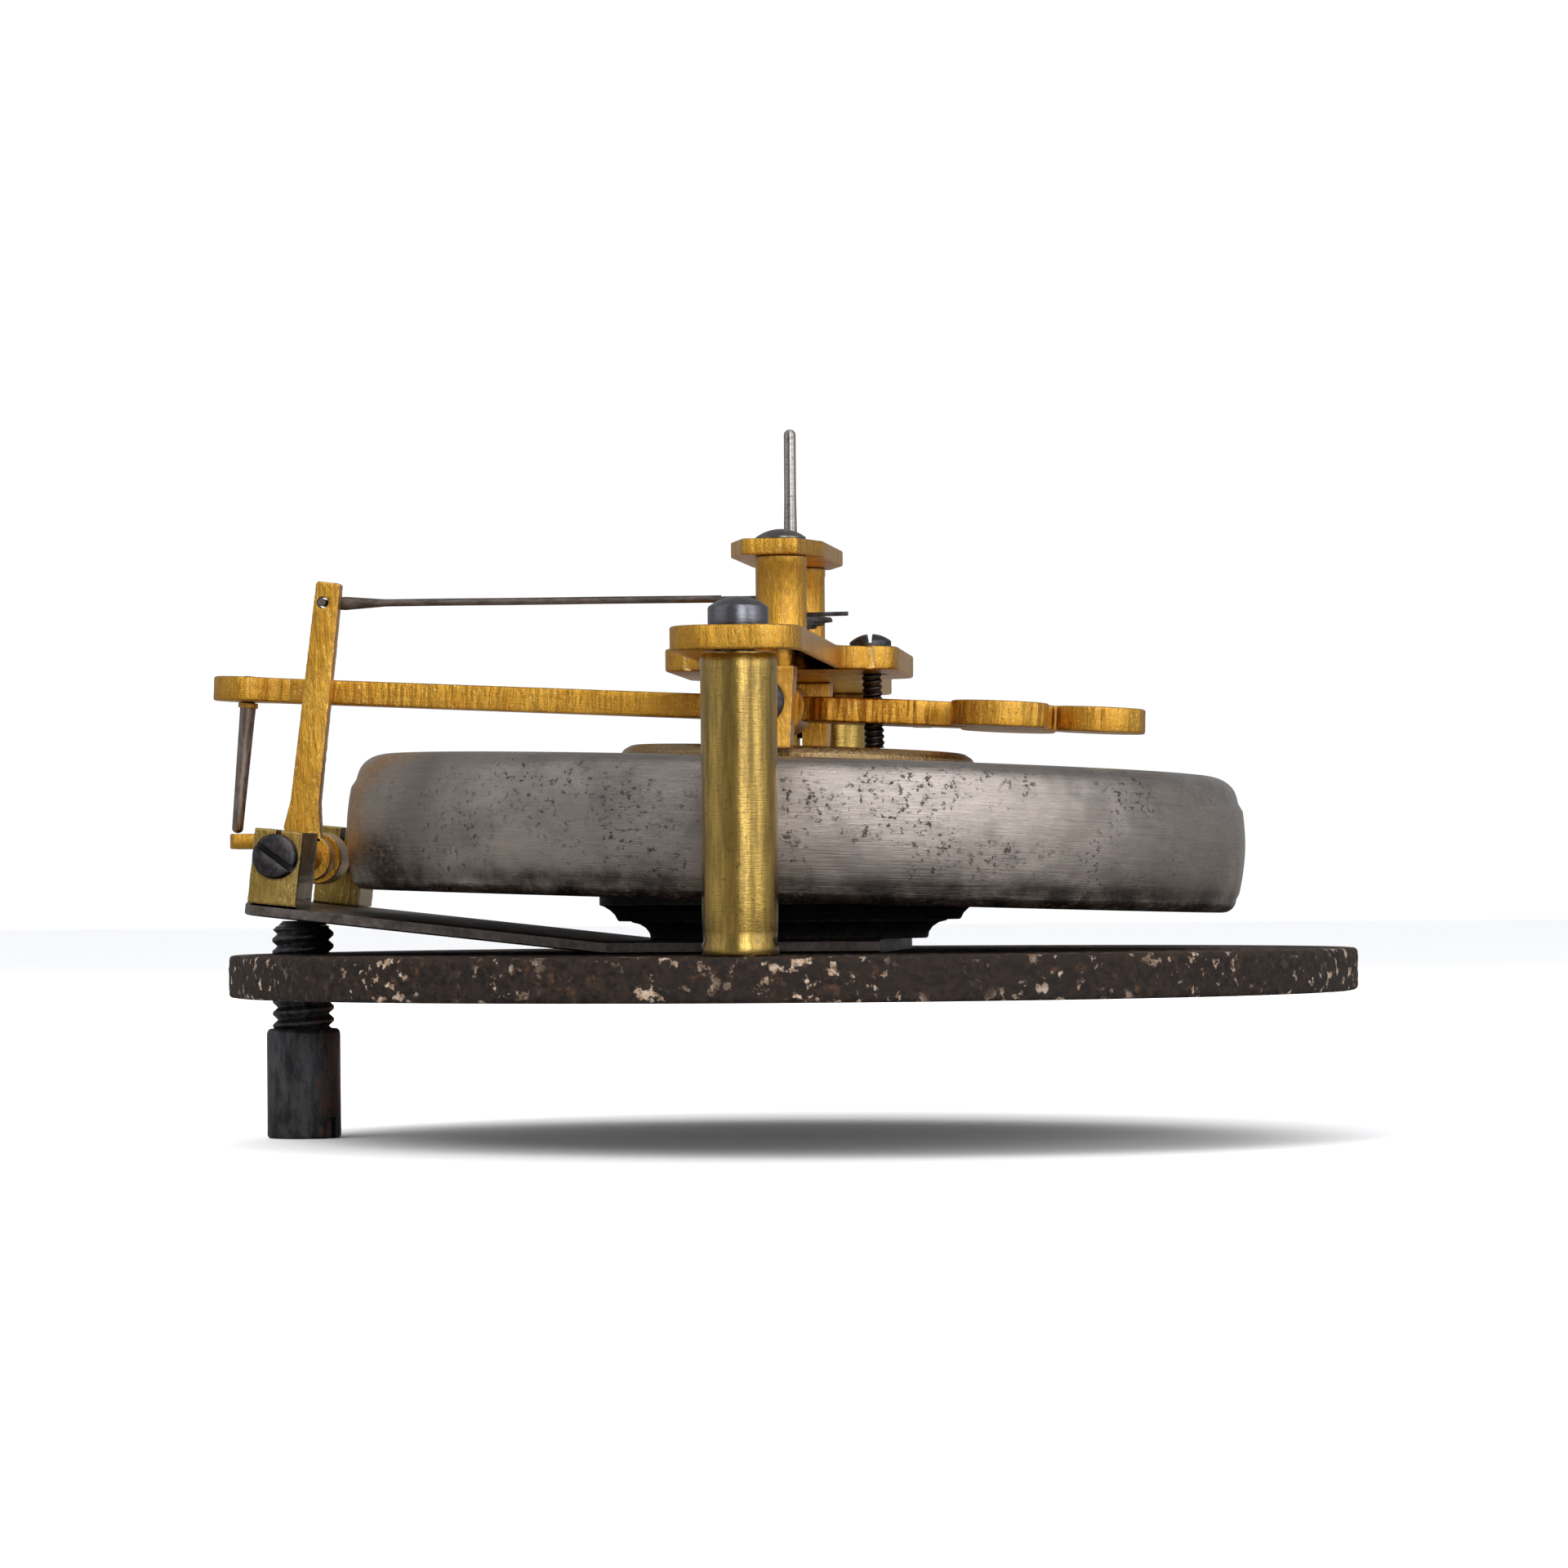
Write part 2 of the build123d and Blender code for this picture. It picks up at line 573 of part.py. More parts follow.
with BuildPart() as lever_arm:
    with BuildSketch(lever_plane.offset(-LEVER_T / 2)) as lever_outline:
        with Locations((LOBE_U / 2, ARM_Y)):
            Rectangle(-LOBE_U, 2 * ARM_HALF_WIDTH)
        with Locations((LOBE_U, ARM_Y)):
            Circle(LOBE_R)
        lobe_corners = lever_outline.vertices().filter_by_position(Axis.X, LOBE_U + 1.0, LOBE_U + LOBE_R)
        fillet(lobe_corners, radius=LOBE_FILLET)
        with Locations((WIDE_START_U / 2, 0)):
            Rectangle(WIDE_START_U, 2 * NECK_HALF_WIDTH)
        with Locations(((WIDE_START_U + WIDE_END_U) / 2, 0)):
            Rectangle(WIDE_END_U - WIDE_START_U, 2 * WIDE_HALF_WIDTH)
        with Locations(((WIDE_END_U + 14.0) / 2, 0)):
            Rectangle(14.0 - WIDE_END_U, 2 * NECK_HALF_WIDTH)
        with Locations((14.9, 0)):
            Circle(3.4)
        with Locations(*weight_lobes):
            Circle(WEIGHT_R)
    extrude(amount=LEVER_T)
    with BuildSketch(contact_plane.offset(-LEVER_T)):
        Circle(CONTACT_R + SEAT_GAP)
    extrude(amount=2 * LEVER_T, mode=Mode.SUBTRACT)
    with BuildSketch(Plane.XZ.offset(-HUB_HALF_LENGTH)):
        with Locations((LEVER_X, LEVER_Z)):
            Circle(HUB_R)
    extrude(amount=2 * HUB_HALF_LENGTH)
    with BuildSketch(Plane.XZ.offset(-HUB_HALF_LENGTH)):
        with Locations((LEVER_X, LEVER_Z)):
            Circle(SHAFT_R + SEAT_GAP)
    extrude(amount=2 * HUB_HALF_LENGTH, mode=Mode.SUBTRACT)
    with BuildSketch(pin_plane.offset(-0.5)):
        Circle(PIN_RIVET_R + SEAT_GAP)
    extrude(amount=3.0, mode=Mode.SUBTRACT)

lever_arm.part.label = "lever_arm"
export_step(lever_arm.part, "parts/lever_arm.step")

COLLAR_H = 0.35
COLLAR_R = 0.65
COLLAR_GAP = 0.06  # the collar sits square on the pin, so it needs this to clear the lobe's underside
with BuildPart() as drop_pin:
    with BuildSketch(upright(pin_plane)):
        with BuildLine():
            Polyline(
                (0, -PIN_LENGTH),
                (0, LEVER_T + 0.1),
                (PIN_RIVET_R, LEVER_T + 0.1),
                (PIN_RIVET_R, -COLLAR_GAP),
                (PIN_R, -COLLAR_GAP),
                (PIN_TIP_R, -PIN_LENGTH + 0.25),
            )
            dome_arc(PIN_TIP_R, -PIN_LENGTH + 0.25, 0.25, direction=-1)
        make_face()
    revolve(axis=Axis(pin_plane.origin, pin_plane.z_dir))

drop_pin.part.label = "drop_pin"
export_step(drop_pin.part, "parts/drop_pin.step")

with BuildPart() as drop_pin_collar:
    with BuildSketch(pin_plane.offset(-COLLAR_GAP - COLLAR_H)):
        Circle(COLLAR_R)
        Circle(PIN_R + SEAT_GAP, mode=Mode.SUBTRACT)
    extrude(amount=COLLAR_H)

drop_pin_collar.part.label = "drop_pin_collar"
export_step(drop_pin_collar.part, "parts/drop_pin_collar.step")

# ---------------------------------------------------------------- contact screw
CONTACT_PITCH = 0.4
CONTACT_TOP = 4.12  # underside of its head, above the lever's middle plane
CONTACT_HEAD_R = 1.35
CONTACT_RIM = 0.45
CONTACT_DOME = 0.5
crown_at_contact = capsule_plane.to_local_coords(Vector(CONTACT_X, 0, 0)).X
crown_point = capsule_plane.from_local_coords((crown_at_contact, 0, CROWN_TOP))
CONTACT_TIP = contact_plane.to_local_coords(crown_point).Z + 0.04

with BuildPart() as contact_screw:
    with BuildSketch(upright(contact_plane)):
        with BuildLine():
            Polyline(
                *thread_outline(CONTACT_R, CONTACT_PITCH, CONTACT_TIP + 0.25, CONTACT_TOP, 0.1),
                (0, CONTACT_TIP + 0.25),
            )
        make_face()
    revolve(axis=Axis(contact_plane.origin, contact_plane.z_dir))
    with BuildSketch(contact_plane.offset(CONTACT_TIP)):
        Circle(0.35)
    extrude(amount=0.3)
    with BuildSketch(upright(contact_plane)):
        with BuildLine():
            Polyline(
                (0, CONTACT_TOP + CONTACT_RIM + CONTACT_DOME),
                (0, CONTACT_TOP),
                (CONTACT_HEAD_R, CONTACT_TOP),
                (CONTACT_HEAD_R, CONTACT_TOP + CONTACT_RIM),
            )
            dome_arc(CONTACT_HEAD_R, CONTACT_TOP + CONTACT_RIM, CONTACT_DOME)
        make_face()
    revolve(axis=Axis(contact_plane.origin, contact_plane.z_dir))
    with BuildSketch(contact_plane.offset(CONTACT_TOP + CONTACT_RIM + CONTACT_DOME)):
        Rectangle(0.38, 3.2 * CONTACT_HEAD_R)
    extrude(amount=-CONTACT_DOME - 0.2, mode=Mode.SUBTRACT)

contact_screw.part.label = "contact_screw"
export_step(contact_screw.part, "parts/contact_screw.step")

# ---------------------------------------------------------------- tongue: flat root and sloping blade
with BuildPart() as tongue_root:
    with BuildSketch(Plane.XY.offset(BASE_T)):
        with Locations(((BEND_X + TONGUE_RIGHT_X) / 2, 0)):
            Rectangle(TONGUE_RIGHT_X - BEND_X, 2 * TONGUE_HALF_WIDTH)
        with Locations((CAPSULE_X, 0)):
            Circle(CAPSULE_SCREW_R + RUNNING_GAP, mode=Mode.SUBTRACT)
        with Locations(*tongue_screw_places):
            Circle(TONGUE_SCREW_R, mode=Mode.SUBTRACT)
    extrude(amount=TONGUE_T)

tongue_root.part.label = "tongue_root"
export_step(tongue_root.part, "parts/tongue_root.step")

tongue_screw = countersunk_screw(TONGUE_SCREW_HEAD_R, TONGUE_SCREW_R - SEAT_GAP, BASE_T + TONGUE_T)
with BuildPart() as tongue_screws:
    with Locations(*[Location((x, y, 0), UNDERSIDE) for x, y in tongue_screw_places]):
        add(tongue_screw)

tongue_screws.part.label = "tongue_screws"
export_step(tongue_screws.part, "parts/tongue_screws.step")

BLOCK_TENON_R = 0.9
CRANK_U = blade_plane.to_local_coords(Vector(CRANK_X, 0, CRANK_Z)).X
CRANK_W = blade_plane.to_local_coords(Vector(CRANK_X, 0, CRANK_Z)).Z
block_mid_y = CRANK_BLOCK_Y - CRANK_BLOCK_DEPTH / 2

with BuildPart() as tongue_blade:
    with BuildSketch(blade_plane.offset(-TONGUE_T / 2)):
        with Locations((-BEND_GAP, 0)):
            Rectangle(BLADE_LENGTH - BEND_GAP, 2 * TONGUE_HALF_WIDTH, align=(Align.MAX, Align.CENTER))
        with Locations((CRANK_U, -block_mid_y), (CRANK_U, block_mid_y)):
            Circle(BLOCK_TENON_R, mode=Mode.SUBTRACT)
    extrude(amount=TONGUE_T)
    blade_normal = Axis(blade_plane.origin, blade_plane.z_dir)
    fillet(tongue_blade.edges().filter_by(blade_normal).group_by(Axis.X)[0], radius=2.0)

tongue_blade.part.label = "tongue_blade"
export_step(tongue_blade.part, "parts/tongue_blade.step")

# ---------------------------------------------------------------- crank blocks on the blade
CRANK_BLOCK_HALF_WIDTH = 1.55


def crank_block(face_y, inward, height):
    """A split block riveted to the blade; inward is +1 for the front block and -1 for the rear one."""
    face_origin = blade_plane.origin + Vector(0, face_y, 0)
    side_plane = Plane(origin=face_origin, x_dir=blade_plane.x_dir, z_dir=(0, -1, 0))
    with BuildPart() as block:
        with BuildSketch(side_plane):
            with Locations((CRANK_U, TONGUE_T / 2)):
                Rectangle(2 * CRANK_BLOCK_HALF_WIDTH, height, align=(Align.CENTER, Align.MIN))
            with Locations((CRANK_U, CRANK_W)):
                Circle(PIVOT_SCREW_R, mode=Mode.SUBTRACT)
                Rectangle(SAW_CUT, 4.0, align=(Align.CENTER, Align.MIN), mode=Mode.SUBTRACT)
        extrude(amount=-inward * CRANK_BLOCK_DEPTH)
        with BuildSketch(blade_plane.offset(-TONGUE_T / 2)):
            with Locations((CRANK_U, -inward * block_mid_y)):
                Circle(BLOCK_TENON_R - SEAT_GAP)
        extrude(amount=TONGUE_T)
    return block


crank_block_front = crank_block(-CRANK_BLOCK_Y, 1, 4.75)
crank_block_front.part.label = "crank_block_front"
export_step(crank_block_front.part, "parts/crank_block_front.step")

crank_block_rear = crank_block(CRANK_BLOCK_Y, -1, 5.2)
crank_block_rear.part.label = "crank_block_rear"
export_step(crank_block_rear.part, "parts/crank_block_rear.step")

crank_pivot_screws = pivot_screw_pair(
    CRANK_X, CRANK_Z, CRANK_BLOCK_Y, CRANK_BLOCK_DEPTH, CRANK_PIVOT_HEAD_R, slot_angle=-37
)
crank_pivot_screws.part.label = "crank_pivot_screws"
export_step(crank_pivot_screws.part, "parts/crank_pivot_screws.step")

crank_shaft = coned_shaft(CRANK_X, CRANK_Z, CRANK_BLOCK_Y - CRANK_BLOCK_DEPTH - 0.12)
crank_shaft.part.label = "crank_shaft"
export_step(crank_shaft.part, "parts/crank_shaft.step")

# ---------------------------------------------------------------- bell crank: long bar and short forked arm
BAR_T = 1.15
BAR_LEAN = 6.5
BAR_TOP = 17.9  # above the pivot, along the bar
BAR_FOOT = 1.2
CRANK_HUB_R = 1.5
bar_plane = Plane(
    origin=(CRANK_X, BAR_Y - BAR_T / 2, CRANK_Z),
    x_dir=(cos(radians(BAR_LEAN)), 0, -sin(radians(BAR_LEAN))),
    z_dir=(0, -1, 0),
)
eye_local = bar_plane.to_local_coords(Vector(EYE_X, BAR_Y - BAR_T / 2, EYE_Z))

with BuildPart() as crank_bar:
    with BuildSketch(bar_plane):
        Polygon(
            (-1.9, BAR_FOOT),
            (0.8, BAR_FOOT),
            (0.32, 3.4),
            (0.22, BAR_TOP),
            (-1.4, BAR_TOP),
            (-1.58, 3.4),
            align=None,
        )
        Circle(CRANK_HUB_R)
        Circle(SHAFT_R + SEAT_GAP, mode=Mode.SUBTRACT)
        with Locations((eye_local.X, eye_local.Y)):
            Circle(WIRE_R + 0.09, mode=Mode.SUBTRACT)
    extrude(amount=-BAR_T)

crank_bar.part.label = "crank_bar"
export_step(crank_bar.part, "parts/crank_bar.step")

FORK_HALF_WIDTH = 1.6
FORK_SLOT_HALF_WIDTH = 0.55
FORK_LOW_Z = 9.6
FORK_T = 1.0
FORK_END_X = -37.0

with BuildPart() as crank_fork:
    with BuildSketch(Plane.XY.offset(FORK_LOW_Z)):
        with Locations((FORK_END_X, ARM_Y)):
            Rectangle(CRANK_X - FORK_END_X, 2 * FORK_HALF_WIDTH, align=(Align.MIN, Align.CENTER))
            Rectangle(2.2, 2 * FORK_SLOT_HALF_WIDTH, align=(Align.MIN, Align.CENTER), mode=Mode.SUBTRACT)
    extrude(amount=FORK_T)
    with BuildSketch(Plane.XZ.offset(-ARM_Y - FORK_HALF_WIDTH)):
        with Locations((CRANK_X, CRANK_Z)):
            Circle(CRANK_HUB_R + 0.2)
    extrude(amount=2 * FORK_HALF_WIDTH)
    with BuildSketch(Plane.XZ.offset(-ARM_Y - FORK_HALF_WIDTH)):
        with Locations((CRANK_X, CRANK_Z)):
            Circle(SHAFT_R + SEAT_GAP)
    extrude(amount=2 * FORK_HALF_WIDTH, mode=Mode.SUBTRACT)

crank_fork.part.label = "crank_fork"
export_step(crank_fork.part, "parts/crank_fork.step")

# ---------------------------------------------------------------- link wire and chain
WIRE_Y = BAR_Y + BAR_T / 2 + WIRE_R + 0.08
CHAIN_Y = -1.22
CHAIN_START_X = -4.4
CHAIN_LINK = 0.9
CHAIN_LINKS = 5

with BuildPart() as link_wire:
    with BuildLine(Plane.XY.offset(EYE_Z)) as wire_path:
        FilletPolyline(
            (EYE_X, BAR_Y - BAR_T / 2 - 0.35), (EYE_X, WIRE_Y), (CHAIN_START_X, CHAIN_Y), radius=0.45
        )
    with BuildSketch(Plane(origin=wire_path.line @ 0, z_dir=wire_path.line % 0)):
        Circle(WIRE_R)
    sweep(path=wire_path.line)

link_wire.part.label = "link_wire"
export_step(link_wire.part, "parts/link_wire.step")

with BuildPart() as chain:
    for link in range(CHAIN_LINKS):
        link_x = CHAIN_START_X + 0.1 + CHAIN_LINK * (link + 0.5)
        half_thick = 0.08 if link % 2 else 0.13
        with BuildSketch(Plane.XZ.offset(-CHAIN_Y)):
            with Locations((link_x, EYE_Z)):
                SlotOverall(CHAIN_LINK + 0.3, 2 * CHAIN_HALF_HEIGHT)
        extrude(amount=half_thick, both=True)

chain.part.label = "chain"
export_step(chain.part, "parts/chain.step")

# ---------------------------------------------------------------- adjusting screw
ADJUST_TIP_Z = 4.88
ADJUST_THREAD_TOP = 4.55
ADJUST_HEAD_Z = -2.15
ADJUST_END_Z = -9.3
with BuildPart() as adjusting_screw:
    with BuildSketch(Plane.XZ):
        with BuildLine():
            Polyline(
                *thread_outline(ADJUST_R, ADJUST_PITCH, ADJUST_HEAD_Z, ADJUST_THREAD_TOP, 0.3),
                (0, ADJUST_HEAD_Z),
            )
        make_face()
        Polygon(
            (0, ADJUST_THREAD_TOP - 0.1),
            (1.65, ADJUST_THREAD_TOP - 0.1),
            (1.3, ADJUST_TIP_Z),
            (0, ADJUST_TIP_Z),
            align=None,
        )
    revolve(axis=Axis.Z)
    with BuildSketch(Plane.XY.offset(ADJUST_HEAD_Z)):
        Circle(ADJUST_HEAD_R)
    extrude(amount=ADJUST_END_Z - ADJUST_HEAD_Z)
    chamfer(adjusting_screw.edges().filter_by(GeomType.CIRCLE).sort_by(Axis.Z)[0], length=0.15)
    with BuildSketch(Plane.XY.offset(ADJUST_END_Z)):
        Rectangle(0.6, 2.4 * ADJUST_HEAD_R, rotation=-24)
    extrude(amount=1.4, mode=Mode.SUBTRACT)
adjusting_screw.part = adjusting_screw.part.moved(Location((ADJUST_X, 0, 0)))

adjusting_screw.part.label = "adjusting_screw"
export_step(adjusting_screw.part, "parts/adjusting_screw.step")

# ---------------------------------------------------------------- vacuum capsule
# Profiles are turned about the capsule's own axis; h is the height above its floor.
RIM_R = 25.8
capsule_axis = Axis(capsule_plane.origin, capsule_plane.z_dir)


def capsule_outline(inset):
    """Half section of the barrel-shaped capsule, moved inwards by inset."""
    side = CAPSULE_R - inset
    with BuildLine() as outline:
        Line((0, inset), (side - 1.5, inset))
        ThreePointArc((side - 1.5, inset), (side - 0.8, 0.25 + inset), (side - 0.5, 1.0 + inset))
        ThreePointArc((side - 0.5, 1.0 + inset), (side, 4.2), (side - 0.6, 7.0))
        ThreePointArc((side - 0.6, 7.0), (side - 1.15, 8.2 - 0.8 * inset), (RIM_R + 0.6, CAPSULE_HEIGHT - inset))
        Polyline((RIM_R + 0.6, CAPSULE_HEIGHT - inset), (0, CAPSULE_HEIGHT - inset), (0, inset))
    return outline.line


with BuildPart() as capsule_cup:
    with BuildSketch(upright(capsule_plane)):
        with BuildLine():
            add(capsule_outline(0))
        make_face()
        with BuildLine():
            add(capsule_outline(CAPSULE_WALL))
        make_face(mode=Mode.SUBTRACT)
        with Locations((0, CAPSULE_HEIGHT)):
            Rectangle(RIM_R, 1.5, align=(Align.MIN, Align.CENTER), mode=Mode.SUBTRACT)
    revolve(axis=capsule_axis)

capsule_cup.part.label = "capsule_cup"
export_step(capsule_cup.part, "parts/capsule_cup.step")

DIAPHRAGM_INNER_R = 10.4
DIAPHRAGM_T = 0.3
DIAPHRAGM_H = 8.2
RIPPLES = 4
RIPPLE_HEIGHT = 0.22
ripple_width = (RIM_R - 0.05 - DIAPHRAGM_INNER_R) / (2 * RIPPLES)

with BuildPart() as capsule_diaphragm:
    with BuildSketch(upright(capsule_plane)):
        with BuildLine():
            ripple_points = [
                (DIAPHRAGM_INNER_R + ripple_width * step, DIAPHRAGM_H + (RIPPLE_HEIGHT if step % 2 else 0))
                for step in range(2 * RIPPLES + 1)
            ]
            lower = Spline(*ripple_points, tangents=((1, 0), (1, 0)))
            upper = Spline(*[(r, h + DIAPHRAGM_T) for r, h in ripple_points], tangents=((1, 0), (1, 0)))
            Line(lower @ 0, upper @ 0)
            Line(lower @ 1, upper @ 1)
        make_face()
    revolve(axis=capsule_axis)

capsule_diaphragm.part.label = "capsule_diaphragm"
export_step(capsule_diaphragm.part, "parts/capsule_diaphragm.step")

CROWN_LOW = 8.9
CROWN_BEVEL = 0.45
STUD_R = 1.6

with BuildPart() as capsule_crown:
    with BuildSketch(capsule_plane.offset(CROWN_LOW)):
        Circle(CROWN_R)
        Circle(STUD_R + SEAT_GAP, mode=Mode.SUBTRACT)
    extrude(amount=CROWN_TOP - CROWN_LOW)
    rim = capsule_crown.edges().filter_by(GeomType.CIRCLE).group_by(SortBy.RADIUS)[-1]
    chamfer(rim.sort_by(Axis.Z)[-1], length=CROWN_BEVEL)

capsule_crown.part.label = "capsule_crown"
export_step(capsule_crown.part, "parts/capsule_crown.step")

with BuildPart() as capsule_stud:
    with BuildSketch(capsule_plane.offset(2.0)):
        Circle(STUD_R)
    extrude(amount=CROWN_TOP - 2.0)

capsule_stud.part.label = "capsule_stud"
export_step(capsule_stud.part, "parts/capsule_stud.step")

COIL_R = 7.0
COIL_WIRE_R = 0.65
COIL_LOW = CAPSULE_WALL + COIL_WIRE_R + SEAT_GAP
COIL_RISE = 6.55
COIL_TURNS = 4

with BuildPart() as capsule_spring:
    with BuildLine(capsule_plane) as coil:
        Helix(pitch=COIL_RISE / COIL_TURNS, height=COIL_RISE, radius=COIL_R, center=(0, 0, COIL_LOW))
    with BuildSketch(Plane(origin=coil.line @ 0, z_dir=coil.line % 0)):
        Circle(COIL_WIRE_R)
    sweep(path=coil.line, is_frenet=True)

capsule_spring.part.label = "capsule_spring"
export_step(capsule_spring.part, "parts/capsule_spring.step")

# The foot stands upright on the tongue; only its top is cut to the leaning capsule.
FOOT_Z = BASE_T + TONGUE_T
with BuildPart() as capsule_foot:
    with BuildSketch(Plane(origin=(CAPSULE_X, 0, 0), x_dir=(1, 0, 0), z_dir=(0, -1, 0))):
        with BuildLine():
            Line((0, FOOT_Z), (9.0, FOOT_Z))
            ThreePointArc((9.0, FOOT_Z), (9.3, 4.2), (10.2, 4.65))
            Polyline((10.2, 4.65), (11.2, 4.65))
            ThreePointArc((11.2, 4.65), (11.5, 5.35), (12.3, 5.8))
            Polyline((12.3, 5.8), (12.3, 6.8), (0, 6.8), (0, FOOT_Z))
        make_face()
    revolve(axis=Axis((CAPSULE_X, 0, 0), (0, 0, 1)))
    split(bisect_by=capsule_plane, keep=Keep.BOTTOM)
    with BuildSketch(Plane.XY.offset(FOOT_Z)):
        with Locations((CAPSULE_X, 0)):
            Circle(CAPSULE_SCREW_R)
    extrude(amount=1.9, mode=Mode.SUBTRACT)

capsule_foot.part.label = "capsule_foot"
export_step(capsule_foot.part, "parts/capsule_foot.step")

fixing_screw = countersunk_screw(CAPSULE_SCREW_HEAD_R, CAPSULE_SCREW_R - SEAT_GAP, FOOT_Z + 1.8)
with BuildPart() as capsule_fixing_screw:
    with Locations(Location((CAPSULE_X, 0, 0), UNDERSIDE)):
        add(fixing_screw)

capsule_fixing_screw.part.label = "capsule_fixing_screw"
export_step(capsule_fixing_screw.part, "parts/capsule_fixing_screw.step")
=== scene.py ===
import json
from math import acos, atan2, cos, degrees, hypot, pi, radians, sin, sqrt, tan

import bmesh
import bpy
from mathutils import Matrix, Vector, noise
from mathutils.geometry import tessellate_polygon


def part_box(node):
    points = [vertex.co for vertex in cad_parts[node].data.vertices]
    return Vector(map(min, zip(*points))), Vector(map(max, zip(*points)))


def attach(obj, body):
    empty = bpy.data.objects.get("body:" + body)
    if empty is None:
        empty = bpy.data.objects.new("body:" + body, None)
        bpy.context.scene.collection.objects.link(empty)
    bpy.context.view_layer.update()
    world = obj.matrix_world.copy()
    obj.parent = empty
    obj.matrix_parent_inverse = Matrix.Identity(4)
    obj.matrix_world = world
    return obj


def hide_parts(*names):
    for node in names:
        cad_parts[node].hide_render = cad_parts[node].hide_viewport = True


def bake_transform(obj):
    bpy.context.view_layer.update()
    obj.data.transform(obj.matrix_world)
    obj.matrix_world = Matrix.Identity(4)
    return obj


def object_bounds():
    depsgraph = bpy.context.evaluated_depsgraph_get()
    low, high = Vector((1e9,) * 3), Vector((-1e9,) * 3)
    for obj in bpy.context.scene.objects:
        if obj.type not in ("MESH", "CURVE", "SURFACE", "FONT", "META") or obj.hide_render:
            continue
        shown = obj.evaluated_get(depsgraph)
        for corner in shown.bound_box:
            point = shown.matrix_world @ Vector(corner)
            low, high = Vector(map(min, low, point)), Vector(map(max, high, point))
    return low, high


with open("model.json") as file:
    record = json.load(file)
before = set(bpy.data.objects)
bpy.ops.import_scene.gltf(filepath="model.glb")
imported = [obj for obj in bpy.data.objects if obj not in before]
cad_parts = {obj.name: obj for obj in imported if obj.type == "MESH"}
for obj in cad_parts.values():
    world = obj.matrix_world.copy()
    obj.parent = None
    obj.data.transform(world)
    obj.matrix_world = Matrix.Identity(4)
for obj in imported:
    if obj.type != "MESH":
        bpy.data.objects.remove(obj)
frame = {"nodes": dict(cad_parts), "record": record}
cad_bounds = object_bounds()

# Looks of an aneroid barometer movement. Shapes are built in millimetres and scaled to metres at the end.
MM = 0.001
FRONT = Matrix.Rotation(radians(90), 4, "X")  # turns an XY outline to face -Y
BACK = Matrix.Rotation(radians(180), 4, "Z") @ FRONT


# ------------------------------------------------------------------ places read from the frame
def box(node):
    """Lowest and highest corner of a CAD node, in millimetres."""
    low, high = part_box(node)
    return Vector(low) / MM, Vector(high) / MM


def centre(node):
    low, high = box(node)
    return (low + high) / 2


def joint(name):
    return next(j for j in frame["record"]["behaviour"]["joints"] if j["name"] == name)


def joint_at(name):
    return Vector(joint(name)["pos_m"]) / MM


def leaning(x, y, z, lean):
    """A frame at (x, y, z) whose X axis dips by lean degrees to the right."""
    return Matrix.Translation((x, y, z)) @ Matrix.Rotation(radians(lean), 4, "Y")


def shifted(x=0.0, y=0.0, z=0.0):
    return Matrix.Translation((x, y, z))


# ------------------------------------------------------------------ outlines
def arc(x, y, radius, start, end, step=0.2):
    """Points on an arc, angles in degrees, run from start to end."""
    count = max(3, int(abs(radians(end - start)) * radius / step))
    turns = [radians(start + (end - start) * i / count) for i in range(count + 1)]
    return [(x + radius * cos(a), y + radius * sin(a)) for a in turns]


def ring(x, y, radius, step=0.2):
    return arc(x, y, radius, 0, 360, step)[:-1]


def hole(x, y, radius, step=0.2):
    return ring(x, y, radius, step)[::-1]


def rounded(corners):
    """An outline from corners (x, y, radius); a radius of 0 keeps the corner sharp."""
    points = []
    for i, (x, y, radius) in enumerate(corners):
        here = Vector((x, y))
        before = (Vector(corners[i - 1][:2]) - here).normalized()
        after = (Vector(corners[(i + 1) % len(corners)][:2]) - here).normalized()
        half = before.angle(after) / 2
        if radius == 0:
            points.append((x, y))
            continue
        middle = here + (before + after).normalized() * (radius / sin(half))
        first = here + before * (radius / tan(half)) - middle
        last = here + after * (radius / tan(half)) - middle
        start = degrees(atan2(first.y, first.x))
        turn = degrees(atan2(first.x * last.y - first.y * last.x, first.dot(last)))
        points += arc(middle.x, middle.y, radius, start, start + turn, min(0.2, radius / 4))
    return points


def spaced(loop, step):
    """The same closed outline with no edge longer than step."""
    points = []
    for i, here in enumerate(loop):
        there = loop[(i + 1) % len(loop)]
        count = max(1, round(hypot(there[0] - here[0], there[1] - here[1]) / step))
        for k in range(count):
            t = k / count
            points.append((here[0] + (there[0] - here[0]) * t, here[1] + (there[1] - here[1]) * t))
    return points


def left_normals(loop):
    """Unit vectors that point into the material, left of the direction of travel."""
    normals = []
    for i, here in enumerate(loop):
        before, after = Vector(loop[i - 1]), Vector(loop[(i + 1) % len(loop)])
        first = (Vector(here) - before).normalized()
        second = (after - Vector(here)).normalized()
        middle = Vector((-first.y - second.y, first.x + second.x))
        sharpness = max(0.5, (1 + first.dot(second)) / 2) ** 0.5
        straight_back = middle.length < 1e-6
        normals.append(Vector((-first.y, first.x)) if straight_back else middle.normalized() / sharpness)
    return normals


# ------------------------------------------------------------------ solids, as (points, faces)
def rounded_wall(thick, bevel, steps=3, rows=1):
    """Wall section of a plate, as (inset, height) from its lower face to its upper one."""
    angles = [pi / 2 * i / steps for i in range(steps + 1)]
    low = [(bevel * (1 - sin(a)), bevel * (1 - cos(a))) for a in angles]
    middle = [(0.0, bevel + (thick - 2 * bevel) * i / rows) for i in range(1, rows)]
    return low + middle + [(inset, thick - height) for inset, height in reversed(low)]


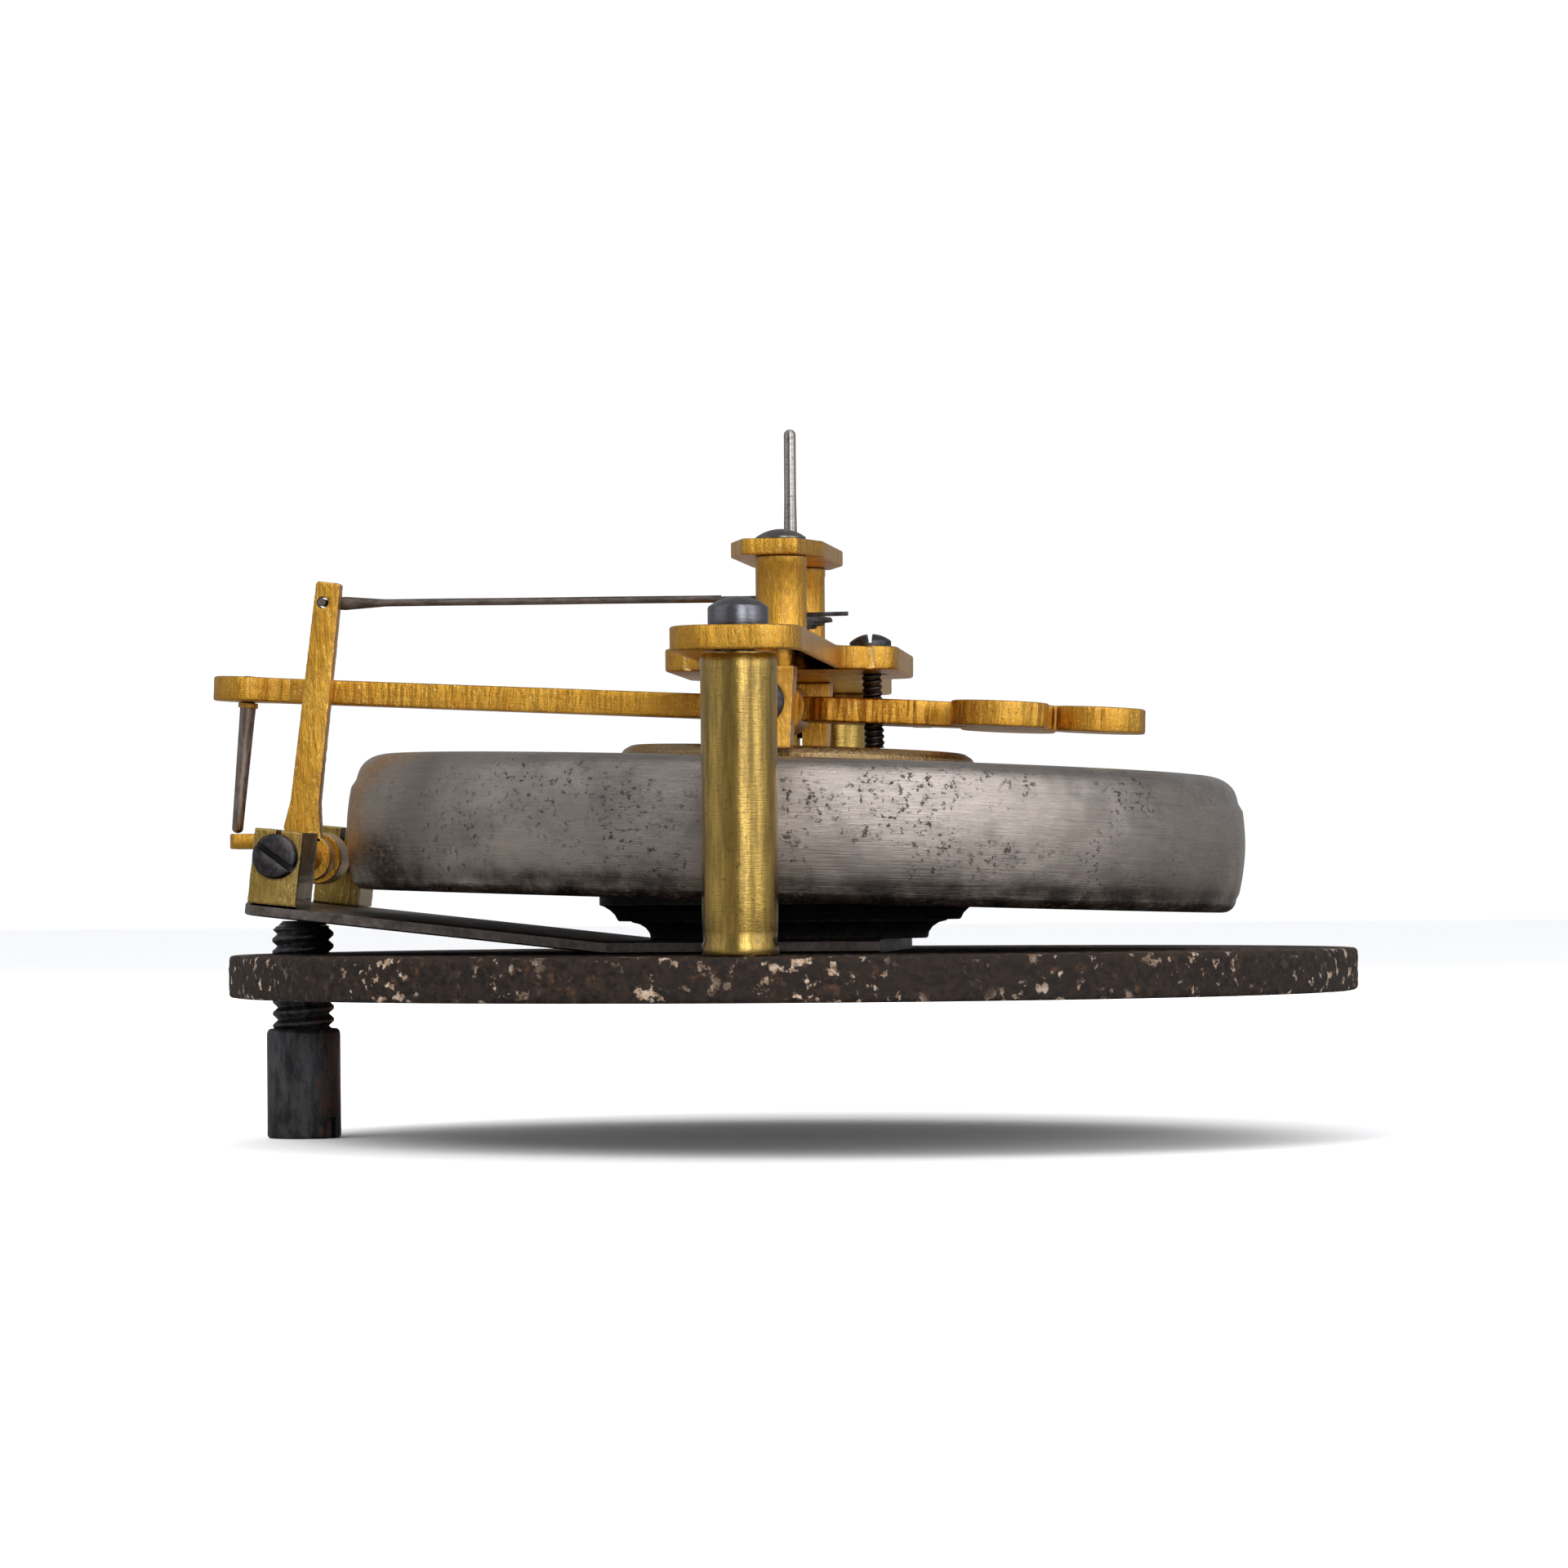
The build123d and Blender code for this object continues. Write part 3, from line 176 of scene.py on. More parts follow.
def slab(loops, walls, marks=None):
    """A plate with a wall section for each outline; marks(x, y, height) pushes the wall inwards."""
    points, faces, caps = [], [], ([], [])
    for index, loop in enumerate(loops):
        wall = walls[min(index, len(walls) - 1)]
        normals = left_normals(loop)
        rows = []
        for inset, height in wall:
            rows.append(len(points))
            for (x, y), normal in zip(loop, normals):
                push = inset + (marks(x, y, height) if marks else 0.0)
                points.append((x + normal.x * push, y + normal.y * push, height))
        count = len(loop)
        for low_row, high_row in zip(rows, rows[1:]):
            for i in range(count):
                j = (i + 1) % count
                faces.append((low_row + i, low_row + j, high_row + j, high_row + i))
        caps[0].append(range(rows[0], rows[0] + count))
        caps[1].append(range(rows[-1], rows[-1] + count))
    for cap in caps:
        order = [k for row in cap for k in row]
        flat = [[Vector((points[k][0], points[k][1], 0)) for k in row] for row in cap]
        triangles = tessellate_polygon(flat)
        faces += [tuple(order[k] for k in triangle) for triangle in triangles]
    return points, faces


def lathe(profile, sides=96, closed=False, wobble=None):
    """A profile of (radius, height) turned about Z; a closed profile makes a ring."""
    points, faces, rows = [], [], []
    for radius, height in profile:
        if radius < 1e-6:
            rows.append([len(points)] * sides)
            points.append((0.0, 0.0, height))
            continue
        rows.append(list(range(len(points), len(points) + sides)))
        for i in range(sides):
            angle = 2 * pi * i / sides
            reach = radius + (wobble(angle, height) if wobble else 0.0)
            points.append((reach * cos(angle), reach * sin(angle), height))
    pairs = list(zip(rows, rows[1:])) + ([(rows[-1], rows[0])] if closed else [])
    for low_row, high_row in pairs:
        for i in range(sides):
            j = (i + 1) % sides
            corners = (low_row[i], low_row[j], high_row[j], high_row[i])
            face = tuple(dict.fromkeys(corners))
            if len(face) > 2:
                faces.append(face)
    return points, faces


def threaded(major, depth, pitch, low, high, sides=48, per_turn=12, fade=0.0):
    """A screw shank along Z with a real helical thread; fade tapers its upper end."""
    rows = int((high - low) / pitch * per_turn)
    points, faces = [(0.0, 0.0, low)], []
    for row in range(rows + 1):
        height = low + (high - low) * row / rows
        for i in range(sides):
            phase = (height / pitch - i / sides) % 1.0
            groove = max(0.0, 1.0 - abs(phase - 0.5) * 2.6)
            taper = max(0.0, height - (high - fade)) if fade else 0.0
            reach = min(major - depth * groove, major - taper)
            angle = 2 * pi * i / sides
            points.append((reach * cos(angle), reach * sin(angle), height))
    for row in range(rows):
        for i in range(sides):
            j = (i + 1) % sides
            first = 1 + row * sides
            faces.append((first + i, first + j, first + sides + j, first + sides + i))
    points.append((0.0, 0.0, high))
    last = 1 + rows * sides
    for i in range(sides):
        j = (i + 1) % sides
        faces.append((0, 1 + j, 1 + i))
        faces.append((len(points) - 1, last + i, last + j))
    return points, faces


def skin(rows, width):
    """Faces that join rows of width points into a closed, capped body."""
    faces = []
    for low in range(0, (rows - 1) * width, width):
        for k in range(width):
            j = (k + 1) % width
            faces.append((low + k, low + j, low + width + j, low + width + k))
    return faces + [tuple(range(width - 1, -1, -1)), tuple(range((rows - 1) * width, rows * width))]


def tube(path, section, sides=16):
    """A wire along a level path; section(t) gives its half height and half width for t from 0 to 1."""
    points = []
    side = Vector((0, 0, 1))
    for i, here in enumerate(path):
        before, after = path[max(0, i - 1)], path[min(len(path) - 1, i + 1)]
        ahead = (Vector(after) - Vector(before)).normalized()
        side = (side - ahead * side.dot(ahead)).normalized()
        up = ahead.cross(side)
        half_height, half_width = section(i / (len(path) - 1))
        for k in range(sides):
            angle = 2 * pi * k / sides
            offset = side * (half_height * cos(angle)) + up * (half_width * sin(angle))
            points.append(tuple(Vector(here) + offset))
    return points, skin(len(path), sides)


def rod(radius, low, high, sides=32):
    return lathe([(0, low), (radius, low), (radius, high), (0, high)], sides)


def sleeve(bore, radius, low, high, bevel, sides=48):
    """A bored cylinder whose outer edges are bevelled."""
    outer = [(radius - bevel, low), (radius, low + bevel), (radius, high - bevel), (radius - bevel, high)]
    return lathe([(bore, low)] + outer + [(bore, high)], sides, closed=True)


def block(width, depth, height):
    """A plain cutter, centred on its own origin."""
    x, y, z = width / 2, depth / 2, height / 2
    points = [(a * x, b * y, c * z) for c in (-1, 1) for b in (-1, 1) for a in (-1, 1)]
    faces = [(0, 2, 3, 1), (4, 5, 7, 6), (0, 1, 5, 4), (2, 6, 7, 3), (0, 4, 6, 2), (1, 3, 7, 5)]
    return points, faces


def moved(solid, matrix):
    return [tuple(matrix @ Vector(p)) for p in solid[0]], solid[1]


def joined(*solids):
    points, faces = [], []
    for solid in solids:
        start = len(points)
        points += solid[0]
        faces += [tuple(start + k for k in face) for face in solid[1]]
    return points, faces


# ------------------------------------------------------------------ pieces
def raw(name, solid):
    """A Blender object for a solid, still in millimetres, normals outwards."""
    mesh = bpy.data.meshes.new(name)
    mesh.from_pydata(solid[0], [], solid[1])
    work = bmesh.new()
    work.from_mesh(mesh)
    bmesh.ops.remove_doubles(work, verts=work.verts, dist=1e-5)
    bmesh.ops.dissolve_degenerate(work, edges=work.edges, dist=1e-6)
    bmesh.ops.recalc_face_normals(work, faces=work.faces)
    work.to_mesh(mesh)
    work.free()
    piece = bpy.data.objects.new(name, mesh)
    bpy.context.scene.collection.objects.link(piece)
    return piece


def bake(piece):
    """Applies a piece's modifiers."""
    bpy.context.view_layer.update()
    graph = bpy.context.evaluated_depsgraph_get()
    mesh = bpy.data.meshes.new_from_object(piece.evaluated_get(graph))
    piece.modifiers.clear()
    work = bmesh.new()
    work.from_mesh(mesh)
    bmesh.ops.remove_doubles(work, verts=work.verts, dist=2e-4)
    bmesh.ops.dissolve_degenerate(work, edges=work.edges, dist=1e-4)
    bmesh.ops.holes_fill(work, edges=[e for e in work.edges if e.is_boundary])
    work.to_mesh(mesh)
    work.free()
    piece.data = mesh


def carve(piece, *cutters):
    """Cuts solids out of a piece."""
    for solid in cutters:
        tool = raw("cutter", solid)
        cut = piece.modifiers.new("cut", "BOOLEAN")
        cut.operation = "DIFFERENCE"
        cut.solver = "EXACT"
        cut.object = tool
        bake(piece)
        bpy.data.objects.remove(tool)


def soften(piece, width, segments=2):
    """Rounds a piece's sharp edges."""
    bevel = piece.modifiers.new("soften", "BEVEL")
    bevel.width = width
    bevel.segments = segments
    bevel.limit_method = "ANGLE"
    bevel.angle_limit = radians(35)
    bevel.harden_normals = False
    bake(piece)


def settle(piece, body, finish, *nodes, crease=32):
    """Scales a piece to metres, gives it its material and body, and hides the CAD nodes it stands for."""
    piece.data.transform(Matrix.Scale(MM, 4))
    piece.data.materials.clear()
    piece.data.materials.append(finish)
    piece.data.polygons.foreach_set("use_smooth", [True] * len(piece.data.polygons))
    piece.data.set_sharp_from_angle(angle=radians(crease))
    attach(piece, body)
    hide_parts(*nodes)
    return piece


def striations(pitch, depth, seed, drift=0.15):
    """File marks across a plate's edge: they run through its thickness and vary along its outline."""

    def marks(x, y, height):
        place = Vector((x / pitch, y / pitch, height * drift + seed))
        coarse = noise.noise(place)
        fine = noise.noise(place * 3.1)
        return depth * (0.7 * coarse + 0.5 * fine + 0.3)

    return marks


# ------------------------------------------------------------------ materials
class Nodes:
    """Adds nodes to a tree: an input is a value, or the socket that feeds it."""

    def __init__(self, tree):
        self.tree = tree

    def node(self, kind, inputs=None, **settings):
        made = self.tree.nodes.new(kind)
        for key, value in settings.items():
            setattr(made, key, value)
        for key, value in (inputs or {}).items():
            if isinstance(value, bpy.types.NodeSocket):
                self.tree.links.new(value, made.inputs[key])
            else:
                made.inputs[key].default_value = value
        return made

    def math(self, operation, a, b=0.0, clamp=False):
        return self.node("ShaderNodeMath", {0: a, 1: b}, operation=operation, use_clamp=clamp).outputs[0]

    def vector(self, operation, inputs, output=0):
        return self.node("ShaderNodeVectorMath", inputs, operation=operation).outputs[output]


class Shader(Nodes):
    """Builds a node material one call at a time. Lengths are millimetres on the object."""

    def __init__(self, name):
        self.material = bpy.data.materials.new(name)
        self.material.use_nodes = True
        super().__init__(self.material.node_tree)
        self.tree.nodes.clear()
        place = self.node("ShaderNodeTexCoord").outputs["Object"]
        self.place = self.vector("SCALE", {0: place, "Scale": 1 / MM})

    def turned(self, place, lean):
        angle = {"Vector": place, "Angle": radians(-lean)}
        return self.node("ShaderNodeVectorRotate", angle, rotation_type="Y_AXIS").outputs[0]

    def stretched(self, x=1.0, y=1.0, z=1.0, lean=0.0):
        """Object coordinates, turned by lean about Y and then scaled along each axis."""
        return self.vector("MULTIPLY", {0: self.turned(self.place, lean), 1: (x, y, z)})

    def polar(self, x, y, lean=0.0, z=0.0, around=8.0, along=1.0):
        """Coordinates about an axis through (x, y, z): a point on a circle of radius around, and a height."""
        centred = self.vector("SUBTRACT", {0: self.place, 1: (x, y, z)})
        parts = self.node("ShaderNodeSeparateXYZ", {0: self.turned(centred, lean)}).outputs
        circle = self.node("ShaderNodeCombineXYZ", {0: parts[0], 1: parts[1]}).outputs[0]
        wide = self.vector("SCALE", {0: self.vector("NORMALIZE", {0: circle}), "Scale": around})
        tall = self.math("MULTIPLY", parts[2], along)
        flat = self.node("ShaderNodeSeparateXYZ", {0: wide}).outputs
        return self.node("ShaderNodeCombineXYZ", {0: flat[0], 1: flat[1], 2: tall}).outputs[0]

    def noise(self, vector, scale, detail=4.0, rough=0.55, distortion=0.0):
        inputs = {"Vector": vector, "Scale": scale, "Detail": detail, "Roughness": rough}
        return self.node("ShaderNodeTexNoise", {**inputs, "Distortion": distortion}).outputs["Fac"]

    def band(self, value, low, high, out_low=0.0, out_high=1.0):
        """value remapped from low..high to out_low..out_high, clamped and smooth."""
        inputs = {0: value, 1: low, 2: high, 3: out_low, 4: out_high}
        return self.node("ShaderNodeMapRange", inputs, interpolation_type="SMOOTHSTEP").outputs[0]

    def mix(self, factor, a, b):
        made = self.node("ShaderNodeMix", data_type="RGBA")
        for index, value in ((0, factor), (6, a), (7, b)):
            if isinstance(value, bpy.types.NodeSocket):
                self.tree.links.new(value, made.inputs[index])
            else:
                made.inputs[index].default_value = value if index == 0 else (*value, 1.0)
        return made.outputs[2]

    def bump(self, height, distance, strength=1.0, normal=None):
        inputs = {"Height": height, "Distance": distance * MM, "Strength": strength}
        if normal:
            inputs["Normal"] = normal
        return self.node("ShaderNodeBump", inputs).outputs[0]

    def edge(self, radius=0.15, low=0.985, high=0.90):
        """1 on sharp edges, 0 on flats."""
        soft = self.node("ShaderNodeBevel", {"Radius": radius * MM}, samples=4).outputs[0]
        hard = self.node("ShaderNodeNewGeometry").outputs["Normal"]
        return self.band(self.vector("DOT_PRODUCT", {0: soft, 1: hard}, "Value"), low, high)

    def crevice(self, distance=1.0):
        """1 in tight corners, 0 in the open: an ambient-occlusion mask, so colour mixed by it is painted
        shade.
        """
        open_sky = self.node("ShaderNodeAmbientOcclusion", {"Distance": distance * MM}, samples=6)
        return self.band(open_sky.outputs["AO"], 0.75, 0.25)

    def finish(self, color, rough, metallic=1.0, normal=None, **extra):
        inputs = {"Base Color": color, "Roughness": rough, "Metallic": metallic}
        if isinstance(color, tuple):
            inputs["Base Color"] = (*color, 1.0)
        if normal:
            inputs["Normal"] = normal
        inputs.update({key.replace("_", " "): value for key, value in extra.items()})
        surface = self.node("ShaderNodeBsdfPrincipled", inputs)
        output = self.node("ShaderNodeOutputMaterial")
        self.tree.links.new(surface.outputs[0], output.inputs[0])
        return self.material


def gilt_brass(name, grain, lean=0.0, tone=(0.86, 0.47, 0.062), dark=(0.42, 0.19, 0.022), even_darkening=0.0):
    """Lacquered brass: fine drawn grain, warm patches, brown specks, painted shade in its corners and bright
    edges.
    """
    s = Shader(name)
    fine = s.noise(s.stretched(*grain, lean=lean), 9.0, 5.0, 0.65)
    patches = s.noise(s.place, 0.55, 4.0, 0.6)
    specks = s.noise(s.place, 5.5, 3.0, 0.5)
    color = s.mix(s.band(patches, 0.3, 0.7), tone, tuple(c * f for c, f in zip(tone, (0.86, 0.78, 0.66))))
    color = s.mix(s.band(fine, 0.35, 0.75, 0.0, 0.55), color, dark)
    color = s.mix(s.band(specks, 0.64, 0.72, 0.0, 0.8), color, (0.20, 0.10, 0.025))
    color = s.mix(s.band(specks, 0.36, 0.28, 0.0, 0.8), color, (1.0, 0.80, 0.38))
    # Painted shade: ambient occlusion darkens tight corners towards dark brown, and the last argument adds an
    # even darkening everywhere.
    corner_shade_and_darkening = s.math("ADD", s.math("MULTIPLY", s.crevice(1.2), 0.8), even_darkening, clamp=True)
    color = s.mix(corner_shade_and_darkening, color, (0.12, 0.065, 0.018))
    color = s.mix(s.math("MULTIPLY", s.edge(0.10), 0.5), color, (1.0, 0.80, 0.36))
    rough = s.band(s.math("ADD", fine, s.math("MULTIPLY", patches, 0.6)), 0.5, 1.2, 0.22, 0.46)
    hammered = s.noise(s.stretched(2.4, 2.4, 0.5, lean), 1.3, 3.0, 0.5)
    normal = s.bump(fine, 0.05, 0.7, s.bump(hammered, 0.20, 0.6))
    return s.finish(color, rough, 1.0, normal, Coat_Weight=0.3, Coat_Roughness=0.2)


def pillar_brass(name):
    """Turned brass gone olive: tarnish runs down it, dark spots, and painted shade where it meets a plate."""
    s = Shader(name)
    rings = s.noise(s.stretched(0.15, 0.15, 3.0), 6.0, 4.0, 0.6)
    runs = s.noise(s.stretched(2.2, 2.2, 0.22), 1.3, 5.0, 0.62)
    spots = s.noise(s.place, 3.2, 5.0, 0.62)
    color = s.mix(s.band(runs, 0.32, 0.68), (0.57, 0.38, 0.085), (0.32, 0.205, 0.05))
    color = s.mix(s.band(spots, 0.58, 0.74, 0.0, 0.8), color, (0.13, 0.085, 0.03))
    # Painted shade: ambient occlusion darkens the pillar where it meets a plate.
    color = s.mix(s.math("MULTIPLY", s.crevice(2.0), 0.85), color, (0.075, 0.05, 0.022))
    rough = s.band(s.math("ADD", runs, s.math("MULTIPLY", rings, 0.5)), 0.45, 1.05, 0.12, 0.28)
    normal = s.bump(rings, 0.02, 0.4, s.bump(spots, 0.05, 0.25))
    return s.finish(color, rough, 1.0, normal, Coat_Weight=0.4, Coat_Roughness=0.12)


def nickel_silver(name, x, z, lean, height):
    """The capsule's metal: brushed round its side, scratched, pitted, and darkened towards its lower edge by
    a painted reflection of the dark base.
    """
    s = Shader(name)
    brushed = s.noise(s.polar(x, 0, lean, z, around=2.2, along=9.0), 2.0, 6.0, 0.7)
    scratch = s.noise(s.polar(x, 0, lean, z, around=9.0, along=55.0), 1.0, 2.0, 0.6, 0.4)
    patches = s.noise(s.place, 0.10, 5.0, 0.6, 0.6)
    cloud = s.noise(s.place, 0.35, 6.0, 0.65)
    pits = s.noise(s.place, 2.6, 5.0, 0.75)
    pit_places = s.noise(s.place, 0.16, 2.0, 0.5)
    level = s.node("ShaderNodeSeparateXYZ", {0: s.polar(x, 0, lean, z, 1.0, 1.0 / height)}).outputs[2]
    color = s.mix(s.band(patches, 0.35, 0.68), (0.45, 0.395, 0.355), (0.29, 0.25, 0.225))
    color = s.mix(s.band(brushed, 0.4, 0.75, 0.0, 0.45), color, (0.52, 0.48, 0.44))
    color = s.mix(s.band(cloud, 0.5, 0.75, 0.0, 0.55), color, (0.20, 0.185, 0.185))
    # Painted reflection: a dark band towards the lower edge, broken into patches, stands in for the dark base
    # plate mirrored in the side.
    painted_base_reflection = s.math("MULTIPLY", s.band(level, 0.30, 0.03), s.band(cloud, 0.35, 0.62))
    color = s.mix(painted_base_reflection, color, (0.075, 0.068, 0.070))
    pitted = s.math("MULTIPLY", s.band(pits, 0.57, 0.65), s.band(pit_places, 0.40, 0.58))
    color = s.mix(pitted, color, (0.12, 0.10, 0.085))
    rough = s.band(s.math("ADD", brushed, patches), 0.7, 1.3, 0.20, 0.36)
    normal = s.bump(brushed, 0.035, 0.5)
    normal = s.bump(scratch, 0.02, 0.6, normal)
    normal = s.bump(s.math("SUBTRACT", 1.0, pitted), 0.14, 0.8, normal)
    normal = s.bump(s.noise(s.place, 0.22, 2.0), 0.6, 0.35, normal)
    return s.finish(color, rough, 1.0, normal, Anisotropic=0.35)


def rusty_iron(name):
    """Dark plate iron: brown rust, grey scale, and flecks of old pale paint on its edge."""
    s = Shader(name)
    grain = s.noise(s.place, 2.2, 8.0, 0.7)
    broad = s.noise(s.place, 0.28, 5.0, 0.6)
    flecks = s.noise(s.place, 1.15, 6.0, 0.62)
    fleck_places = s.noise(s.place, 0.12, 3.0, 0.5)
    color = s.mix(s.band(grain, 0.35, 0.65), (0.007, 0.005, 0.004), (0.034, 0.019, 0.012))
    color = s.mix(s.band(broad, 0.45, 0.7, 0.0, 0.6), color, (0.014, 0.010, 0.008))
    rust = s.noise(s.place, 0.9, 6.0, 0.7)
    color = s.mix(s.band(rust, 0.56, 0.72, 0.0, 0.7), color, (0.12, 0.052, 0.022))
    painted = s.math("MULTIPLY", s.band(flecks, 0.565, 0.62), s.band(fleck_places, 0.42, 0.58))
    color = s.mix(painted, color, s.mix(s.band(grain, 0.42, 0.58), (0.20, 0.11, 0.055), (0.42, 0.33, 0.25)))
    metallic = s.band(painted, 0.0, 0.4, 0.35, 0.0)
    normal = s.bump(grain, 0.16, 0.8, s.bump(rust, 0.12, 0.6))
    normal = s.bump(painted, 0.05, 0.6, normal)
    return s.finish(color, s.band(grain, 0.3, 0.7, 0.55, 0.85), metallic, normal)


def dull_steel(name, tone, rust=0.3, rough=(0.34, 0.6), scale=1.0, grain=(1.0, 1.0, 1.0)):
    """Old steel: mottled grey with brown stains, small pits, slightly bright edges and painted shade in its
    crevices.
    """
    s = Shader(name)
    mottle = s.noise(s.stretched(*grain), 1.6 * scale, 7.0, 0.66)
    stain = s.noise(s.place, 0.7 * scale, 5.0, 0.6)
    pits = s.noise(s.place, 6.0 * scale, 4.0, 0.6)
    color = s.mix(s.band(mottle, 0.35, 0.68), tone, tuple(c * 2.1 for c in tone))
    color = s.mix(s.band(stain, 0.52, 0.72, 0.0, rust), color, (0.16, 0.075, 0.035))
    color = s.mix(s.band(pits, 0.62, 0.72, 0.0, 0.7), color, tuple(c * 0.35 for c in tone))
    color = s.mix(s.math("MULTIPLY", s.edge(0.08), 0.45), color, tuple(min(1.0, c * 3.6) for c in tone))
    # Painted shade: ambient occlusion darkens crevices towards near black.
    color = s.mix(s.math("MULTIPLY", s.crevice(0.8), 0.95), color, tuple(c * 0.08 for c in tone))
    normal = s.bump(mottle, 0.05, 0.5, s.bump(pits, 0.03, 0.5))
    return s.finish(color, s.band(mottle, 0.35, 0.7, *rough), 1.0, normal)


def polished_steel(name, tone=(0.42, 0.43, 0.46), lathe_marks=5.0):
    """Turned and polished steel with faint rings, dark freckles and a slightly blue cast."""
    s = Shader(name)
    rings = s.noise(s.stretched(0.2, 0.2, lathe_marks), 4.0, 4.0, 0.6)
    freckles = s.noise(s.place, 4.0, 5.0, 0.66)
    color = s.mix(s.band(freckles, 0.56, 0.7, 0.0, 0.8), tone, (0.10, 0.085, 0.08))
    color = s.mix(s.band(rings, 0.4, 0.7, 0.0, 0.35), color, tuple(c * 0.55 for c in tone))
    normal = s.bump(rings, 0.015, 0.4, s.bump(freckles, 0.02, 0.3))
    return s.finish(color, s.band(rings, 0.3, 0.7, 0.16, 0.34), 1.0, normal)


def blued_steel(name, rust_side=None):
    """Blue-black steel; where rust_side is given, rust creeps in on the side that faces that way."""
    s = Shader(name)
    mottle = s.noise(s.stretched(1.0, 1.0, 0.35), 1.5, 7.0, 0.66)
    fine = s.noise(s.place, 5.0, 5.0, 0.6)
    color = s.mix(s.band(mottle, 0.36, 0.68), (0.040, 0.041, 0.045), (0.125, 0.126, 0.132))
    if rust_side:
        normal = s.node("ShaderNodeNewGeometry").outputs["Normal"]
        facing = s.vector("DOT_PRODUCT", {0: normal, 1: rust_side}, "Value")
        spread = s.math("ADD", facing, s.math("MULTIPLY", s.math("SUBTRACT", mottle, 0.5), 2.4))
        rust = s.math("MULTIPLY", s.band(spread, 0.55, 0.95), s.band(fine, 0.36, 0.62, 0.25, 1.0))
        color = s.mix(rust, color, s.mix(s.band(fine, 0.4, 0.6), (0.09, 0.040, 0.022), (0.17, 0.085, 0.050)))
    color = s.mix(s.math("MULTIPLY", s.edge(0.08), 0.5), color, (0.30, 0.31, 0.34))
    normal = s.bump(mottle, 0.06, 0.5, s.bump(fine, 0.03, 0.6))
    return s.finish(color, s.band(mottle, 0.35, 0.7, 0.34, 0.58), 0.9, normal)


def black_lacquer(name):
    """Matt black foot with worn edges and grey dust."""
    s = Shader(name)
    grain = s.noise(s.place, 3.0, 6.0, 0.65)
    color = s.mix(s.band(grain, 0.4, 0.7), (0.008, 0.008, 0.009), (0.030, 0.028, 0.027))
    color = s.mix(s.math("MULTIPLY", s.edge(0.2), s.band(grain, 0.35, 0.6)), color, (0.12, 0.11, 0.10))
    return s.finish(color, s.band(grain, 0.3, 0.7, 0.42, 0.65), 0.3, s.bump(grain, 0.05, 0.6))


# ------------------------------------------------------------------ leans, in degrees, and shared places
PILLAR_Y, COCK_PILLAR_Y, BLOCK_SCREW_Y = 33.0, 6.6, 13.0
BORE = 0.91  # radius of the bore in every hub
HUB_SEAT = 1.69  # radius of the hole in a plate that takes a hub of radius 1.7
LEVER_LEAN = 2.7
PIN_LEAN = 5.4
BLADE_LEAN = 6.5
BAR_LEAN = 6.5
CONTACT_HOLE_X = 5.2
CAPSULE_X, CAPSULE_Z = 0.05, 5.95
crown_axis = joint("crown_travel")["axis"]
CAPSULE_LEAN = degrees(atan2(crown_axis[0], crown_axis[2]))
lever_at = joint_at("lever_pivot")
crank_at = joint_at("crank_pivot")
bend_at = joint_at("tongue_flex")
eye_at = joint_at("link_eye")

LEVER_GRAIN = (0.10, 2.0, 2.0)
UPRIGHT_GRAIN = (2.0, 2.0, 0.10)
brass_plate = gilt_brass("brass_plate", grain=(1.6, 0.25, 2.0))
brass_lever = gilt_brass("brass_lever", grain=LEVER_GRAIN, lean=LEVER_LEAN)
brass_upright = gilt_brass("brass_upright", grain=UPRIGHT_GRAIN)
# A painted-shade copy of gilt brass: a darker tone and an even darkening make the crank blocks look as if
# they sit in shadow.
brass_block_shaded = gilt_brass(
    "brass_block_shaded", UPRIGHT_GRAIN, BLADE_LEAN, tone=(0.52, 0.37, 0.10), dark=(0.26, 0.16, 0.04), even_darkening=0.12
)
brass_crown = gilt_brass("brass_crown", grain=(0.5, 0.5, 2.0), tone=(0.46, 0.35, 0.19), even_darkening=0.25)
pillar_finish = pillar_brass("pillar_finish")
iron = rusty_iron("iron")
tongue_steel = dull_steel("tongue_steel", tone=(0.12, 0.105, 0.098), rust=0.45)
screw_steel = dull_steel("screw_steel", tone=(0.052, 0.050, 0.053), rust=0.15, rough=(0.30, 0.5), scale=1.6)
wire_steel = dull_steel("wire_steel", tone=(0.12, 0.10, 0.088), rust=0.35, scale=1.4, grain=(0.3, 1.0, 1.0))
pin_steel = dull_steel("pin_steel", tone=(0.20, 0.165, 0.14), rust=0.4, scale=1.4, grain=(1.0, 1.0, 0.3))
arbor_steel = polished_steel("arbor_steel", tone=(0.42, 0.39, 0.37), lathe_marks=2.0)
cap_steel = polished_steel("cap_steel", tone=(0.20, 0.20, 0.225))
dome_steel = polished_steel("dome_steel", tone=(0.22, 0.20, 0.19))
spring_steel = blued_steel("spring_steel")


# ------------------------------------------------------------------ frame: base, pillars, bridge, cock
def underside_sinks():
    """Countersinks of the screws that come up through the base plate."""
    sinks = []
    for node, screw_r in (("pillar_foot_screws", 1.0), ("tongue_screws", 0.8), ("capsule_fixing_screw", 1.5)):
        low, high = box(node)
        head_r = (high.x - low.x) / 2 + 0.03
        middle = (low.x + high.x) / 2
        places = [0.0] if node == "capsule_fixing_screw" else [low.y + head_r, high.y - head_r]
        cone = [(0, -0.1), (head_r + 0.1, -0.1), (screw_r + 0.04, head_r - screw_r)]
        sink = lathe(cone + [(screw_r + 0.04, 4), (0, 4)], 40)
        sinks += [moved(sink, shifted(middle, y)) for y in places]
    return sinks


